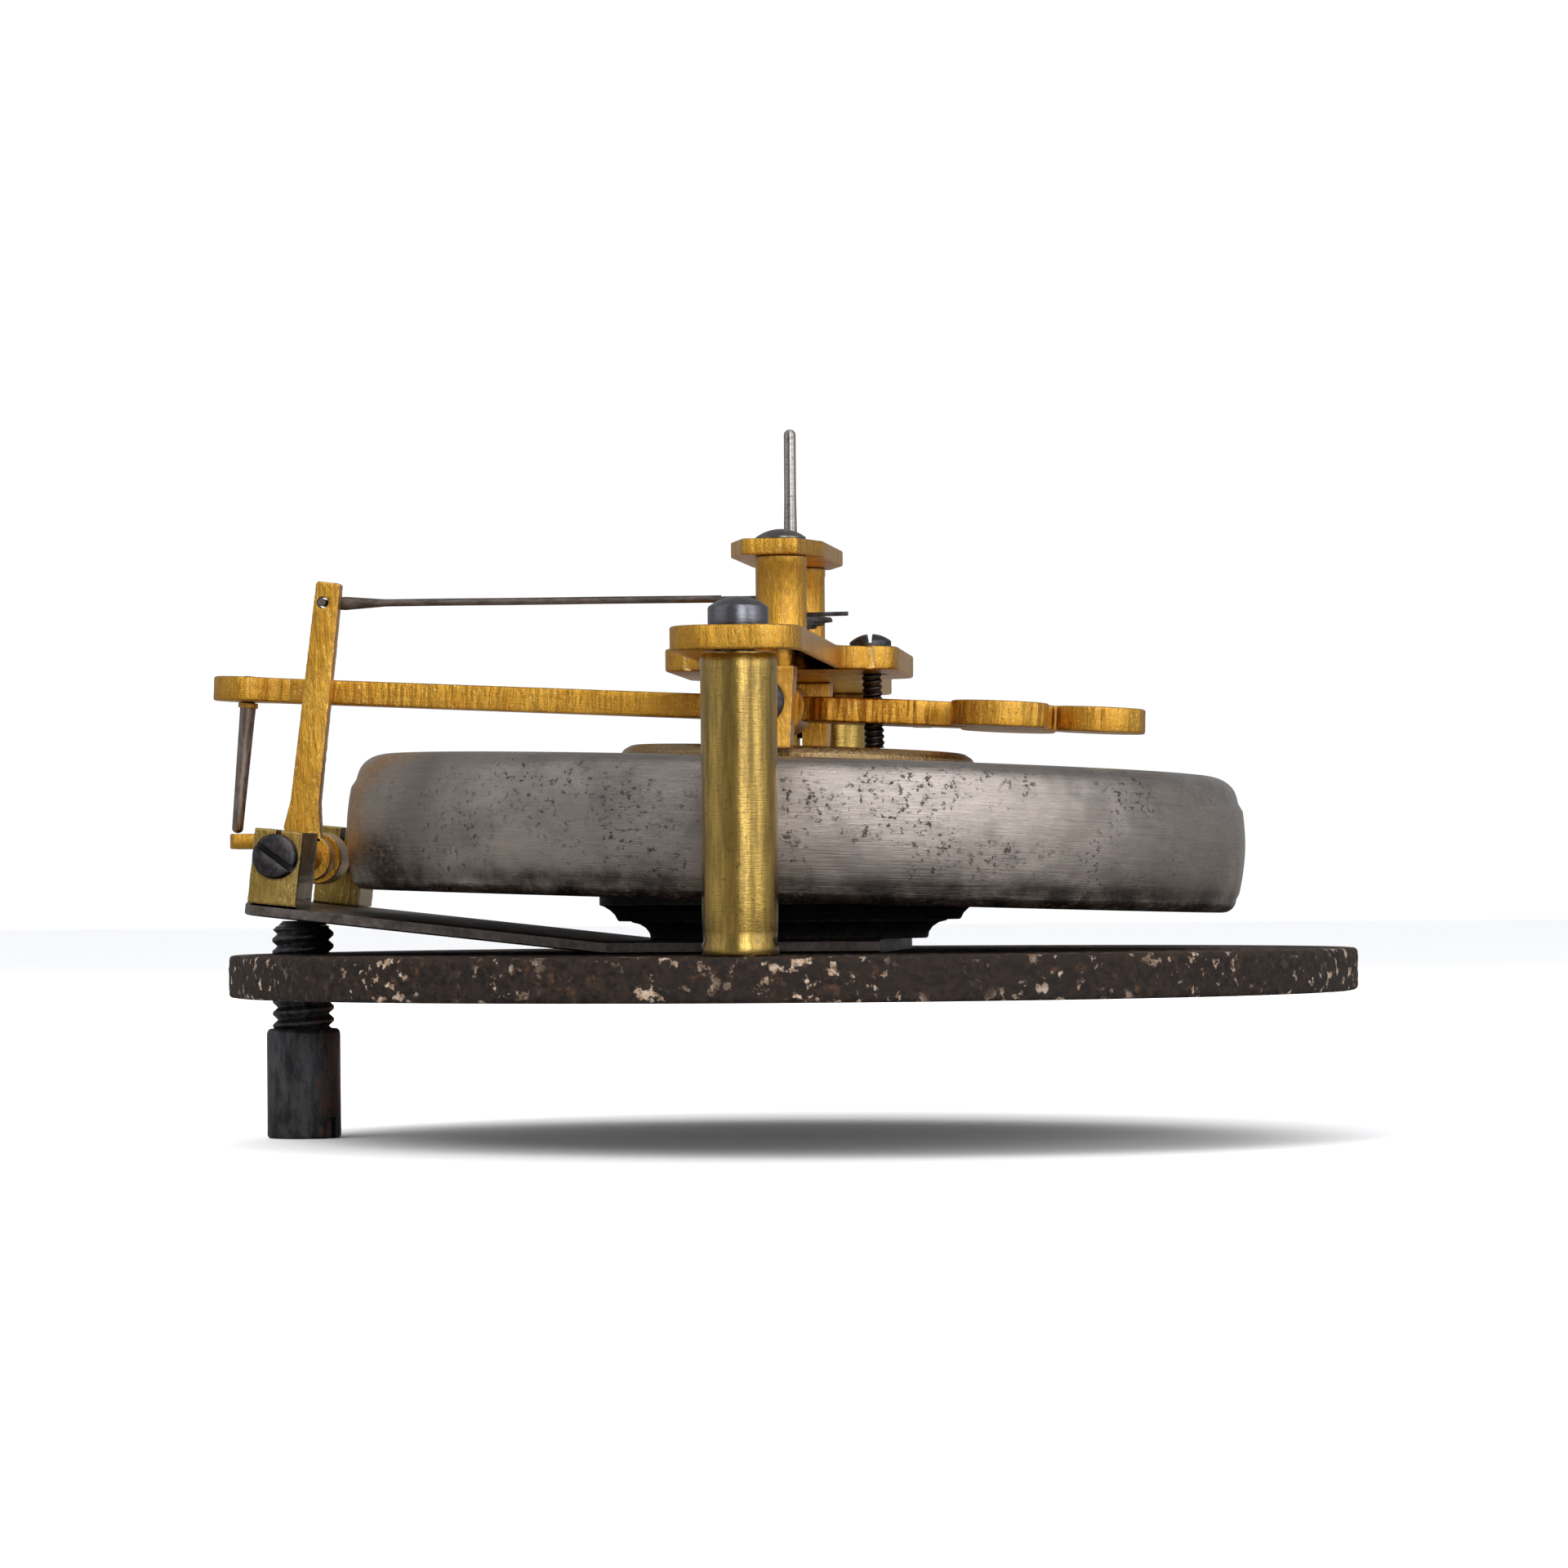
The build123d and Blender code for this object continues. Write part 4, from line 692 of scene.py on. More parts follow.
def base_plate():
    corner = box("base_plate")[1]
    radius, thick = corner.x, corner.z
    adjust = centre("adjusting_screw")
    bolts = next(m for m in frame["record"]["mounts"] if m["name"] == "case_screws")["dims"]
    reach = bolts["pcd_mm"] / 2
    through = [(adjust.x, adjust.y, 2.04)]
    for i in range(bolts["count"]):
        turn = 2 * pi * i / bolts["count"]
        through.append((reach * cos(turn), reach * sin(turn), bolts["hole_r_mm"]))
    loops = [spaced(ring(0, 0, radius, 0.35), 0.35)] + [hole(*place) for place in through]

    def pitted(x, y, height):
        if hypot(x, y) < radius - 2:
            return 0.0
        place = Vector((x, y, height))
        chips = max(0.0, noise.noise(place * 0.55) - 0.25)
        return 0.05 + 0.10 * noise.noise(place * 1.7) + 0.05 * noise.noise(place * 4.0) + 0.25 * chips

    walls = [rounded_wall(thick, 0.32, 4, 8), rounded_wall(thick, 0.15)]
    piece = raw("base_plate_rusted", slab(loops, walls, pitted))
    carve(piece, *underside_sinks())
    settle(piece, "frame", iron, "base_plate")


def pillars():
    for node, seed in (("front_pillar", 1.0), ("rear_pillar", 7.0)):
        low, high = box(node)
        radius, middle = (high.x - low.x) / 2, centre(node)
        height = high.z - low.z

        def wobble(angle, z, seed=seed):
            return 0.012 * noise.noise(Vector((2 * cos(angle), 2 * sin(angle), z * 0.4 + seed)))

        profile = [(0, 0), (radius - 0.12, 0), (radius - 0.03, 0.05), (radius, 0.16), (radius, 0.7)]
        profile += [(radius - 0.10, 0.95), (radius - 0.05, 1.5)]
        profile += [(radius - 0.02, 1.5 + (height - 3.0) * i / 10) for i in range(1, 10)]
        profile += [(radius, height - 1.0), (radius, height - 0.2), (radius - 0.06, height - 0.05)]
        profile += [(radius - 0.16, height), (0, height)]
        post = moved(lathe(profile, 96, wobble=wobble), shifted(middle.x, middle.y, low.z))
        settle(raw(node + "_turned", post), "frame", pillar_finish, node)


def slotted(name, head, shank_r, depth, at, slot, angle, matrix=Matrix()):
    """A screw whose head profile starts at its edge; slot is (width, depth)."""
    shank = [(0, -depth), (shank_r - 0.1, -depth), (shank_r, -depth + 0.1), (shank_r, 0)]
    piece = raw(name, lathe(shank + head + [(0, head[-1][1])], 64))
    top = max(point[1] for point in head)
    turned = Matrix.Rotation(radians(angle), 4, "Z")
    carve(piece, moved(block(slot[0], 12, 4), turned @ shifted(z=top - slot[1] + 2)))
    soften(piece, 0.035)
    piece.data.transform(shifted(*at) @ matrix)
    return piece


def dome(radius, base, rise, count=8):
    """Head profile points of a shallow dome from its edge to near the axis."""
    ball = (radius**2 + rise**2) / (2 * rise)
    steps = [radius * (1 - i / count) for i in range(count)]
    return [(r, base + sqrt(ball**2 - r**2) - (ball - rise)) for r in steps]


def bridge_cap_screws():
    low, high = box("bridge_cap_screws")
    seat = box("bridge_plate")[1].z
    radius = (high.x - low.x) / 2
    rim = high.z - seat - 0.6
    head = [(radius - 0.06, 0), (radius, 0.06), (radius, rim - 0.12), (radius - 0.06, rim)]
    head += dome(radius - 0.1, rim + 0.02, 0.58)
    made = []
    for index, (y, angle) in enumerate(((low.y + radius, 62), (high.y - radius, 20))):
        made.append(slotted(f"bridge_cap_screw_{index}", head, 0.99, 5.4, (0, y, seat), (0.5, 0.55), angle))
    settle(joined_piece(made, "bridge_cap_screws_turned"), "frame", cap_steel, "bridge_cap_screws")


def joined_piece(pieces, name):
    """Several loose Blender pieces as one object."""
    work = bmesh.new()
    for piece in pieces:
        work.from_mesh(piece.data)
        bpy.data.objects.remove(piece)
    mesh = bpy.data.meshes.new(name)
    work.to_mesh(mesh)
    work.free()
    whole = bpy.data.objects.new(name, mesh)
    bpy.context.scene.collection.objects.link(whole)
    return whole


def bridge_plate():
    low, high = box("bridge_plate")
    half, reach, side, core = 3.9, high.y, high.x, 8.3
    quarter = [(half, -reach, 2.6), (half, -core, 2.2), (side, -core, 1.8)]
    right = quarter + [(x, -y, r) for x, y, r in reversed(quarter)]
    outline = right + [(-x, -y, r) for x, y, r in right]
    loops = [spaced(rounded(outline), 0.16), hole(0, 0, 0.29, 0.06), hole(CONTACT_HOLE_X, 0, 1.1, 0.1)]
    marks = striations(0.22, 0.035, 3.0)

    def only_outside(x, y, height):
        inside = hypot(x, y) < 1.0 or hypot(x - CONTACT_HOLE_X, y) < 1.5
        return 0.0 if inside else marks(x, y, height)

    thick = high.z - low.z
    walls = [rounded_wall(thick, 0.16, 3, 3), rounded_wall(thick, 0.05)]
    piece = raw("bridge_plate_filed", moved(slab(loops, walls, only_outside), shifted(z=low.z)))
    stud, screws = centre("hairspring_stud"), centre("lever_block_screws")
    sink = lathe([(0, -3), (0.64, -3), (0.64, -0.67), (1.41, 0.1), (0, 0.1)], 32)
    cutters = [moved(rod(1.04, -3, 3), shifted(0, y, low.z)) for y in (-PILLAR_Y, PILLAR_Y)]
    cutters += [moved(rod(0.9, -3, 3), shifted(0, y, low.z)) for y in (-COCK_PILLAR_Y, COCK_PILLAR_Y)]
    cutters.append(moved(rod(0.36, -3, 3, 24), shifted(stud.x, stud.y, low.z)))
    cutters += [moved(sink, shifted(screws.x, y, high.z)) for y in (-BLOCK_SCREW_Y, BLOCK_SCREW_Y)]
    carve(piece, *cutters)
    settle(piece, "frame", brass_plate, "bridge_plate")


def top_cock():
    low, high = box("top_cock")
    plane = shifted(-0.2, 0, low.z) @ Matrix.Rotation(radians(-2.2), 4, "Z")
    right = [(1.75, -8.8, 0.45), (3.0, -5.0, 0.5), (3.0, 5.0, 0.5), (1.75, 8.8, 0.45)]
    outline = right + [(-x, -y, r) for x, y, r in right]
    loops = [spaced(rounded(outline), 0.12)]
    for y, radius in ((0, 0.48), (-COCK_PILLAR_Y, 0.74), (COCK_PILLAR_Y, 0.74)):
        at = plane.inverted() @ Vector((0, y, 0))
        loops.append(hole(at.x, at.y, radius, 0.09))
    marks = striations(0.18, 0.03, 9.0)

    def outside(x, y, height):
        return marks(x, y, height) if abs(x) > 1.4 or abs(y) > 8 else 0.0

    walls = [rounded_wall(high.z - low.z, 0.12, 3, 2), rounded_wall(high.z - low.z, 0.04)]
    piece = raw("top_cock_filed", moved(slab(loops, walls, outside), plane))
    settle(piece, "frame", brass_plate, "top_cock")


def cock_pillars():
    for node in ("cock_pillar_front", "cock_pillar_rear"):
        low, high = box(node)
        middle = centre(node)
        foot, height = box("bridge_plate")[1].z - low.z, high.z - low.z
        radius = (high.x - low.x) / 2
        profile = [(0, 0), (0.88, 0), (0.88, foot), (radius - 0.06, foot), (radius, foot + 0.08)]
        profile += [(radius, foot + 0.5), (radius - 0.04, foot + 0.6), (radius - 0.04, height - 0.6)]
        profile += [(radius, height - 0.5), (radius, height - 0.08), (radius - 0.08, height), (0, height)]
        piece = raw(node + "_turned", moved(lathe(profile, 72), shifted(middle.x, middle.y, low.z)))
        if node == "cock_pillar_rear":
            carve(piece, moved(rod(0.25, -3, 3, 24), shifted(middle.x, middle.y, 24.4) @ FRONT))
        settle(piece, "frame", brass_upright, node)


def cock_screws():
    low, high = box("cock_screws")
    seat = box("top_cock")[1].z
    radius = (high.x - low.x) / 2
    made = []
    for index, (y, angle) in enumerate(((low.y + radius, 75), (high.y - radius, 10))):
        head = [(radius - 0.05, 0), (radius, 0.05), (radius, 0.17)] + dome(radius - 0.05, 0.2, 0.5)
        made.append(slotted(f"cock_screw_{index}", head, 0.68, 3.4, (0, y, seat), (0.38, 0.42), angle))
    settle(joined_piece(made, "cock_screws_domed"), "frame", dome_steel, "cock_screws")


# ------------------------------------------------------------------ blocks and pivot screws
def split_block(node, outline, slit_at, matrix, depth, body, finish, seed, rivet=None):
    """A block whose outline lies in its own face plane, with filed sides, a saw cut and a tapped hole."""
    wall, marks = rounded_wall(depth, 0.10, 2, 6), striations(0.25, 0.04, seed)
    solid = moved(slab([spaced(rounded(outline), 0.14)], [wall], marks), matrix)
    piece = raw(node + "_filed", joined(solid, rivet) if rivet else solid)
    saw_cut = moved(block(0.36, depth + 2, 4.2), slit_at)
    carve(piece, saw_cut, moved(rod(0.8, -9, 9), slit_at @ shifted(z=-2.1) @ FRONT))
    settle(piece, body, finish, node)


def lever_blocks():
    half, lean = 2.1, 0.28
    left, right = lever_at.x - half, lever_at.x + half
    for node, seed in (("lever_block_front", 4.0), ("lever_block_rear", 5.0)):
        low, high = box(node)
        outline = [(left - lean, low.z, 0), (right - lean, low.z, 0), (right, high.z, 0), (left, high.z, 0)]
        slit = shifted(lever_at.x, (low.y + high.y) / 2, lever_at.z)
        slit = slit @ Matrix.Rotation(pi, 4, "Y") @ shifted(z=2.1)
        face = shifted(y=high.y) @ FRONT
        split_block(node, outline, slit, face, high.y - low.y, "frame", brass_upright, seed)


def crank_blocks():
    half, foot = 1.55, 0.4
    plane = leaning(bend_at.x, 0, bend_at.z, BLADE_LEAN)
    local = plane.inverted() @ crank_at
    left, right = local.x - half, local.x + half
    for node, seed, tall in (("crank_block_front", 6.0, 4.75), ("crank_block_rear", 8.0, 5.2)):
        low, high = box(node)
        middle, top = (low.y + high.y) / 2, foot + tall
        outline = [(left, foot, 0), (right, foot, 0), (right, top, 0), (left, top, 0)]
        slit = plane @ shifted(local.x, middle, local.z + 2.1)
        rivet = moved(rod(0.89, -foot, 0.39), plane @ shifted(local.x, middle))
        face = plane @ shifted(y=high.y) @ FRONT
        split_block(node, outline, slit, face, high.y - low.y, "tongue", brass_block_shaded, seed, rivet)


def pivot_screws(node, at, body, depth, angles):
    """Two pivot screws that face each other; angles are those of their slots."""
    low, high = box(node)
    radius, tall = (high.z - low.z) / 2, 0.75
    head = [(radius - 0.05, 0), (radius, 0.05), (radius, 0.55), (radius - 0.08, 0.68), (radius - 0.2, tall)]
    ends = ((low.y + tall, FRONT, angles[0]), (high.y - tall, BACK, angles[1]))
    made = []
    for index, (y, facing, angle) in enumerate(ends):
        place = (at.x, y, at.z)
        made.append(slotted(f"{node}_{index}", head, 0.78, depth, place, (0.42, 0.5), angle, facing))
    settle(joined_piece(made, node + "_slotted"), body, screw_steel, node)


# ------------------------------------------------------------------ main lever
def lever_plane():
    return leaning(lever_at.x, 0, lever_at.z, LEVER_LEAN)


def lever_outline():
    """Outline from above, from the pivot: arm and lobe on the left, three-lobed weight on the right."""
    arm_y, arm_half, lobe_x, lobe_r, fillet = 1.2, 1.3, -35.45, 2.2, 1.5
    beside = arm_half + fillet
    along = sqrt((lobe_r + fillet) ** 2 - beside**2)
    meet = degrees(atan2(beside, along))
    points = arc(lobe_x, arm_y, lobe_r, meet, 360 - meet)
    points += arc(lobe_x + along, arm_y - beside, fillet, 180 - meet, 90)[1:]
    points += [(-2.4, arm_y - arm_half), (-1.6, -2.1)]
    points += rounded_run([(1.9, -2.1, 0), (2.9, -3.0, 0.4), (9.2, -3.0, 0.6), (10.5, -2.1, 0.8)])
    weight = 3.15
    for x, y, start, end in weight_arcs(weight):
        points += arc(x, y, weight if hypot(x - 14.9, y) > 1 else 3.4, start, end)
    points += rounded_run([(10.5, 2.1, 0.8), (9.2, 3.0, 0.6), (2.9, 3.0, 0.4), (1.9, 2.1, 0)])
    points += [(-1.6, 2.7), (-2.4, arm_y + arm_half)]
    points += arc(lobe_x + along, arm_y + beside, fillet, 270, 180 + meet)[:-1]
    return points


def rounded_run(corners):
    """Part of an outline: corners rounded, with no closing edge."""
    first, last = corners[0], corners[-1]
    onward = last[0] + (3 if last[0] > first[0] else -3)
    return rounded([(first[0] - 3, first[1], 0)] + corners + [(onward, last[1], 0)])[1:-1]


def crossing(a, b, side):
    """Where circle a = (x, y, r) meets circle b, on the side given by +1 or -1, as angles on a and on b."""
    gap = hypot(b[0] - a[0], b[1] - a[1])
    toward = degrees(atan2(b[1] - a[1], b[0] - a[0]))
    on_a = degrees(acos((gap**2 + a[2] ** 2 - b[2] ** 2) / (2 * gap * a[2])))
    on_b = degrees(acos((gap**2 + b[2] ** 2 - a[2] ** 2) / (2 * gap * b[2])))
    return toward + side * on_a, toward + 180 - side * on_b


def weight_arcs(radius):
    """The counterweight's arcs in order, from the neck's front edge round to its rear edge."""
    hub, front, tip, rear = (14.9, 0, 3.4), (14.4, -5.0, radius), (20.4, 0, radius), (14.4, 5.0, radius)
    neck = degrees(acos((5.0 - 2.1) / radius))
    leave_front, enter_hub = crossing(front, hub, -1)
    leave_hub, enter_tip = crossing(hub, tip, -1)
    return [
        (front[0], front[1], 90 + neck, 360 + (leave_front % 360)),
        (hub[0], hub[1], enter_hub % 360 - 360, leave_hub),
        (tip[0], tip[1], enter_tip % 360 - 360, -(enter_tip % 360 - 360)),
        (hub[0], hub[1], -leave_hub, -(enter_hub % 360 - 360)),
        (rear[0], rear[1], -(leave_front % 360), 270 - neck),
    ]


def lever_arm():
    thick, contact_x = 1.6, 5.91
    marks = striations(0.42, 0.12, 2.0)

    def hammered(x, y, height):
        if hypot(x - contact_x, y) < 1.3:
            return 0.0
        return (1.0 if x > 1.5 else 0.45) * marks(x, y, height)

    loops = [spaced(lever_outline(), 0.16), hole(contact_x, 0, 0.74, 0.1)]
    walls = [rounded_wall(thick, 0.16, 3, 3), rounded_wall(thick, 0.05)]
    arm = moved(slab(loops, walls, hammered), lever_plane() @ shifted(z=-thick / 2))
    piece = raw("lever_arm_filed", arm)
    at_hub = shifted(*lever_at) @ FRONT
    carve(piece, moved(rod(HUB_SEAT, -4, 4, 64), at_hub), moved(rod(0.45, -1, 3), pin_plane()))
    hub = raw("hub", moved(sleeve(BORE, 1.7, -3.3, 3.3, 0.1, 64), at_hub))
    settle(joined_piece([piece, hub], "lever_arm_whole"), "main_lever", brass_lever, "lever_arm")


def pin_plane():
    root = lever_plane() @ Vector((-35.33, 1.2, -0.8))
    return leaning(root.x, root.y, root.z, PIN_LEAN)


def drop_pin():
    length = 8.65
    profile = [(0, -length), (0.16, -length + 0.03), (0.29, -length + 0.11), (0.37, -length + 0.25)]
    profile += [(0.40, -6.6), (0.45, -4.0), (0.50, -1.2), (0.525, -0.4), (0.525, -0.06), (0.44, -0.06)]
    profile += [(0.44, 1.6), (0.40, 1.68), (0, 1.7)]
    piece = raw("drop_pin_tapered", moved(lathe(profile, 48), pin_plane()))
    settle(piece, "main_lever", pin_steel, "drop_pin")
    ring_below = moved(sleeve(0.535, 0.65, -0.41, -0.06, 0.05), pin_plane())
    collar = raw("drop_pin_collar_turned", ring_below)
    settle(collar, "main_lever", brass_lever, "drop_pin_collar")


def contact_screw():
    middle_x, under_head = 5.3, 4.12
    drop = (middle_x - lever_at.x) * tan(radians(LEVER_LEAN))
    plane = leaning(middle_x, 0, lever_at.z - drop, -2.0)
    tip = (plane.inverted() @ Vector((centre("contact_screw").x, 0, box("contact_screw")[0].z))).z
    shank = threaded(0.65, 0.12, 0.4, tip + 0.22, under_head + 0.02, sides=40)
    point = lathe([(0, tip), (0.3, tip), (0.36, tip + 0.05), (0.36, tip + 0.3), (0, tip + 0.3)], 32)
    body = raw("contact_screw_threaded", moved(joined(shank, point), plane))
    head = [(1.29, 0), (1.35, 0.06), (1.35, 0.43)] + dome(1.32, 0.46, 0.48)
    cap = slotted("contact_head", head, 0.5, 0.3, (0, 0, under_head), (0.38, 0.62), 0)
    cap.data.transform(plane)
    settle(joined_piece([body, cap], "contact_screw_whole"), "main_lever", screw_steel, "contact_screw")


# ------------------------------------------------------------------ bell crank, link wire, chain
def crank_bar():
    low, high = box("crank_bar")
    thick = high.y - low.y
    plane = leaning(crank_at.x, high.y, crank_at.z, BAR_LEAN) @ FRONT
    eye = plane.inverted() @ Vector((eye_at.x, high.y, eye_at.z))
    outline = [(-1.5, 1.02, 0), (0.8, 1.02, 0), (0.58, 1.9, 1.5), (0.32, 3.6, 3)]
    outline += [(0.22, 17.9, 0.25), (-1.4, 17.9, 0.25), (-1.58, 3.6, 3), (-1.86, 1.8, 0.5)]
    loops = [spaced(rounded(outline), 0.16), hole(eye.x, eye.y, 0.36, 0.05)]
    marks = striations(0.35, 0.03, 12.0)

    def side_marks(x, y, height):
        return 0.0 if hypot(x - eye.x, y - eye.y) < 0.6 else marks(x, y, height)

    walls = [rounded_wall(thick, 0.10, 2, 2), rounded_wall(thick, 0.04)]
    bar = raw("crank_bar_filed", moved(slab(loops, walls, side_marks), plane))
    hub = raw("crank_hub", moved(sleeve(BORE, 1.5, 0, thick, 0.08), plane))
    settle(joined_piece([bar, hub], "crank_bar_whole"), "bell_crank", brass_upright, "crank_bar")


def crank_fork():
    low, high = box("crank_fork")
    y, half = (low.y + high.y) / 2, (high.y - low.y) / 2
    slot, base, thick = 0.55, 9.6, 1.0
    left, right, inner = low.x, crank_at.x, low.x + 2.2
    outline = [(left, y - half, 0.5), (right, y - half, 0), (right, y + half, 0), (left, y + half, 0.5)]
    outline += [(left, y + slot, 0.2), (inner, y + slot, 0.25)]
    outline += [(inner, y - slot, 0.25), (left, y - slot, 0.2)]
    walls, marks = [rounded_wall(thick, 0.10, 2, 2)], striations(0.3, 0.03, 14.0)
    plate = slab([spaced(rounded(outline), 0.16)], walls, marks)
    arm = raw("crank_fork_filed", moved(plate, shifted(z=base)))
    at_hub = shifted(crank_at.x, y, crank_at.z) @ FRONT
    hub = raw("fork_hub", moved(sleeve(BORE, 1.7, -half, half, 0.08), at_hub))
    carve(arm, moved(rod(HUB_SEAT, -4, 4, 48), at_hub))
    settle(joined_piece([arm, hub], "crank_fork_whole"), "bell_crank", brass_upright, "crank_fork")


def link_wire():
    """The wire hooks through the eye, is flattened just beside the bar, and runs to the chain."""
    low, high = box("link_wire")
    z, bend, count = eye_at.z, 0.42, 60
    corner, end = Vector((eye_at.x, -1.475, z)), Vector((high.x, -1.22, z))
    path = [Vector((eye_at.x, y, z)) for y in (low.y, low.y + 0.2, corner.y - bend)]
    for i in range(1, 8):
        turn = pi / 2 * i / 8
        path.append(Vector((corner.x + bend * (1 - cos(turn)), corner.y - bend * (1 - sin(turn)), z)))
    start = Vector((corner.x + bend, corner.y, z))
    for i in range(count + 1):
        t = i / count
        place = start.lerp(end, t)
        place.z += 0.05 * noise.noise(Vector((t * 2.2, 0, 5))) * sin(pi * t)
        path.append(place)

    def section(t):
        flat = 0.20 * max(0.0, 1 - abs(t - 0.17) / 0.09)
        return 0.24 + flat, 0.25 - 0.4 * flat

    settle(raw("link_wire_drawn", tube(path, section, 20)), "link", wire_steel, "link_wire")


def chain():
    low, high = box("chain")
    y, z, pitch, reach, tall = centre("chain").y, centre("chain").z, 0.9, 0.6, 0.17
    wall = [rounded_wall(0.07, 0.015, 1)]
    links = []
    for i in range(round((high.x - low.x - 0.3) / pitch)):
        x = low.x + 0.15 + pitch * (i + 0.5)
        corners = ((x - reach, z - tall), (x + reach, z - tall), (x + reach, z + tall), (x - reach, z + tall))
        outline = rounded([(*corner, 0.165) for corner in corners])
        for side in (-0.09, 0.09) if i % 2 == 0 else (0.0,):
            links.append(moved(slab([outline], wall), shifted(y=y + side + 0.035) @ FRONT))
        links.append(moved(rod(0.07, -0.14, 0.14, 16), shifted(x + 0.45, y, z) @ FRONT))
    settle(raw("chain_links", joined(*links)), "link", wire_steel, "chain")


# ------------------------------------------------------------------ arbor group
def pointer_arbor():
    low, high = box("pointer_arbor")
    foot, top = box("bridge_plate")[1].z + 0.08, high.z
    cock_low, cock_high = box("top_cock")
    profile = [(0, low.z), (0.2, low.z), (0.25, low.z + 0.05), (0.25, foot), (0.46, foot), (0.5, foot + 0.04)]
    profile += [(0.5, cock_low.z - 0.12), (0.44, cock_low.z - 0.08), (0.44, cock_high.z + 0.3)]
    profile += [(0.39, top - 4.35), (0.39, top - 0.35), (0.34, top - 0.19), (0.22, top - 0.06), (0, top)]
    settle(raw("pointer_arbor_turned", lathe(profile, 64)), "arbor", arbor_steel, "pointer_arbor")


def drum():
    low, high = box("chain_drum")
    lower = [(0.51, 0), (0.96, 0), (1.0, 0.04), (1.0, 0.16), (0.96, 0.2), (0.72, 0.2)]
    upper = [(radius, high.z - low.z - z) for radius, z in reversed(lower)]
    turned = moved(lathe(lower + upper, 64, closed=True), shifted(z=low.z))
    settle(raw("chain_drum_turned", turned), "arbor", brass_upright, "chain_drum")


def chain_wrap():
    low, high = box("chain_wrap")
    radius, z = high.x, (low.z + high.z) / 2
    lower = [(0.735, 0.16), (radius - 0.06, 0.17), (radius - 0.02, 0.11)]
    rim = [(r, z - h) for r, h in lower] + [(r, z + h) for r, h in reversed(lower)]

    def linked(angle, _):
        return 0.02 * cos(14 * angle)

    settle(raw("chain_wrap_wound", lathe(rim, 112, True, linked)), "arbor", wire_steel, "chain_wrap")


def hairspring_collet():
    low, high = box("hairspring_collet")
    collet = sleeve(0.51, 0.8, low.z, high.z, 0.06)
    settle(raw("hairspring_collet_turned", collet), "arbor", brass_upright, "hairspring_collet")


def hairspring():
    turns, inner, outer, rise, tail, steps = 4, 1.0, 3.0, 0.85, 4.0, 400
    base = box("hairspring")[0].z + 0.15
    path = []
    for i in range(steps + 1):
        t = i / steps
        angle = 2 * pi * turns * t - pi / 2
        radius = inner + (outer - inner) * t
        path.append(Vector((radius * cos(angle), radius * sin(angle), base + rise * t)))
    ahead = (path[-1] - path[-2]).normalized()
    path += [path[-1] + ahead * (tail * i / 20) for i in range(1, 21)]
    strip = raw("hairspring_coiled", tube(path, lambda t: (0.15, 0.05), 8))
    settle(strip, "frame", spring_steel, "hairspring")


# ------------------------------------------------------------------ tongue and adjusting screw
def tongue_line(right, length):
    """Middle line of root, bend and blade, from right to left, as (x, z, slope)."""
    slope, radius, pitch = radians(BLADE_LEAN), 6.0, 0.8
    start = radius * tan(slope / 2)
    flat = int((right - bend_at.x - start) / pitch) + 1
    line = [(right - i * pitch, bend_at.z, 0.0) for i in range(flat)]
    for i in range(9):
        turn = slope * i / 8
        line.append((bend_at.x + start - radius * sin(turn), bend_at.z + radius * (1 - cos(turn)), turn))
    for i in range(1, 41):
        reach = start + (length - start) * i / 40
        line.append((bend_at.x - reach * cos(slope), bend_at.z + reach * sin(slope), slope))
    return line


def tongue():
    """Root and blade as one sprung plate that bends at the edge of the root."""
    low, high = box("tongue_root")
    half, length, corner, across = high.y, 23.3, 2.0, 36
    upper = []
    for i in range(across + 1):
        bevel = 0.12 if i in (0, across) else 0
        upper.append((-half + 2 * half * i / across, (high.z - low.z) / 2 - bevel))
    section = upper + [(v, -w) for v, w in reversed(upper)]
    line, points = tongue_line(high.x, length), []
    for x, z, turn in line:
        to_end = length - (bend_at.x - x) / cos(radians(BLADE_LEAN))
        inset = 0.0 if to_end >= corner else corner - sqrt(max(0.0, corner**2 - (corner - to_end) ** 2))
        rough = 0.03 * noise.noise(Vector((x * 0.8, 0, 3)))
        for v, w in section:
            edge = 0.05 * noise.noise(Vector((x * 1.3, v * 0.4, 1)))
            side = v * (half - inset) / half + (edge + rough if abs(v) > half - 0.01 else 0)
            points.append((x + w * sin(turn), side, z + w * cos(turn)))
    piece = raw("tongue_sprung", (points, skin(len(line), len(section))))
    settle(piece, "frame", tongue_steel, "tongue_root", "tongue_blade")
    piece.parent = None
    return piece


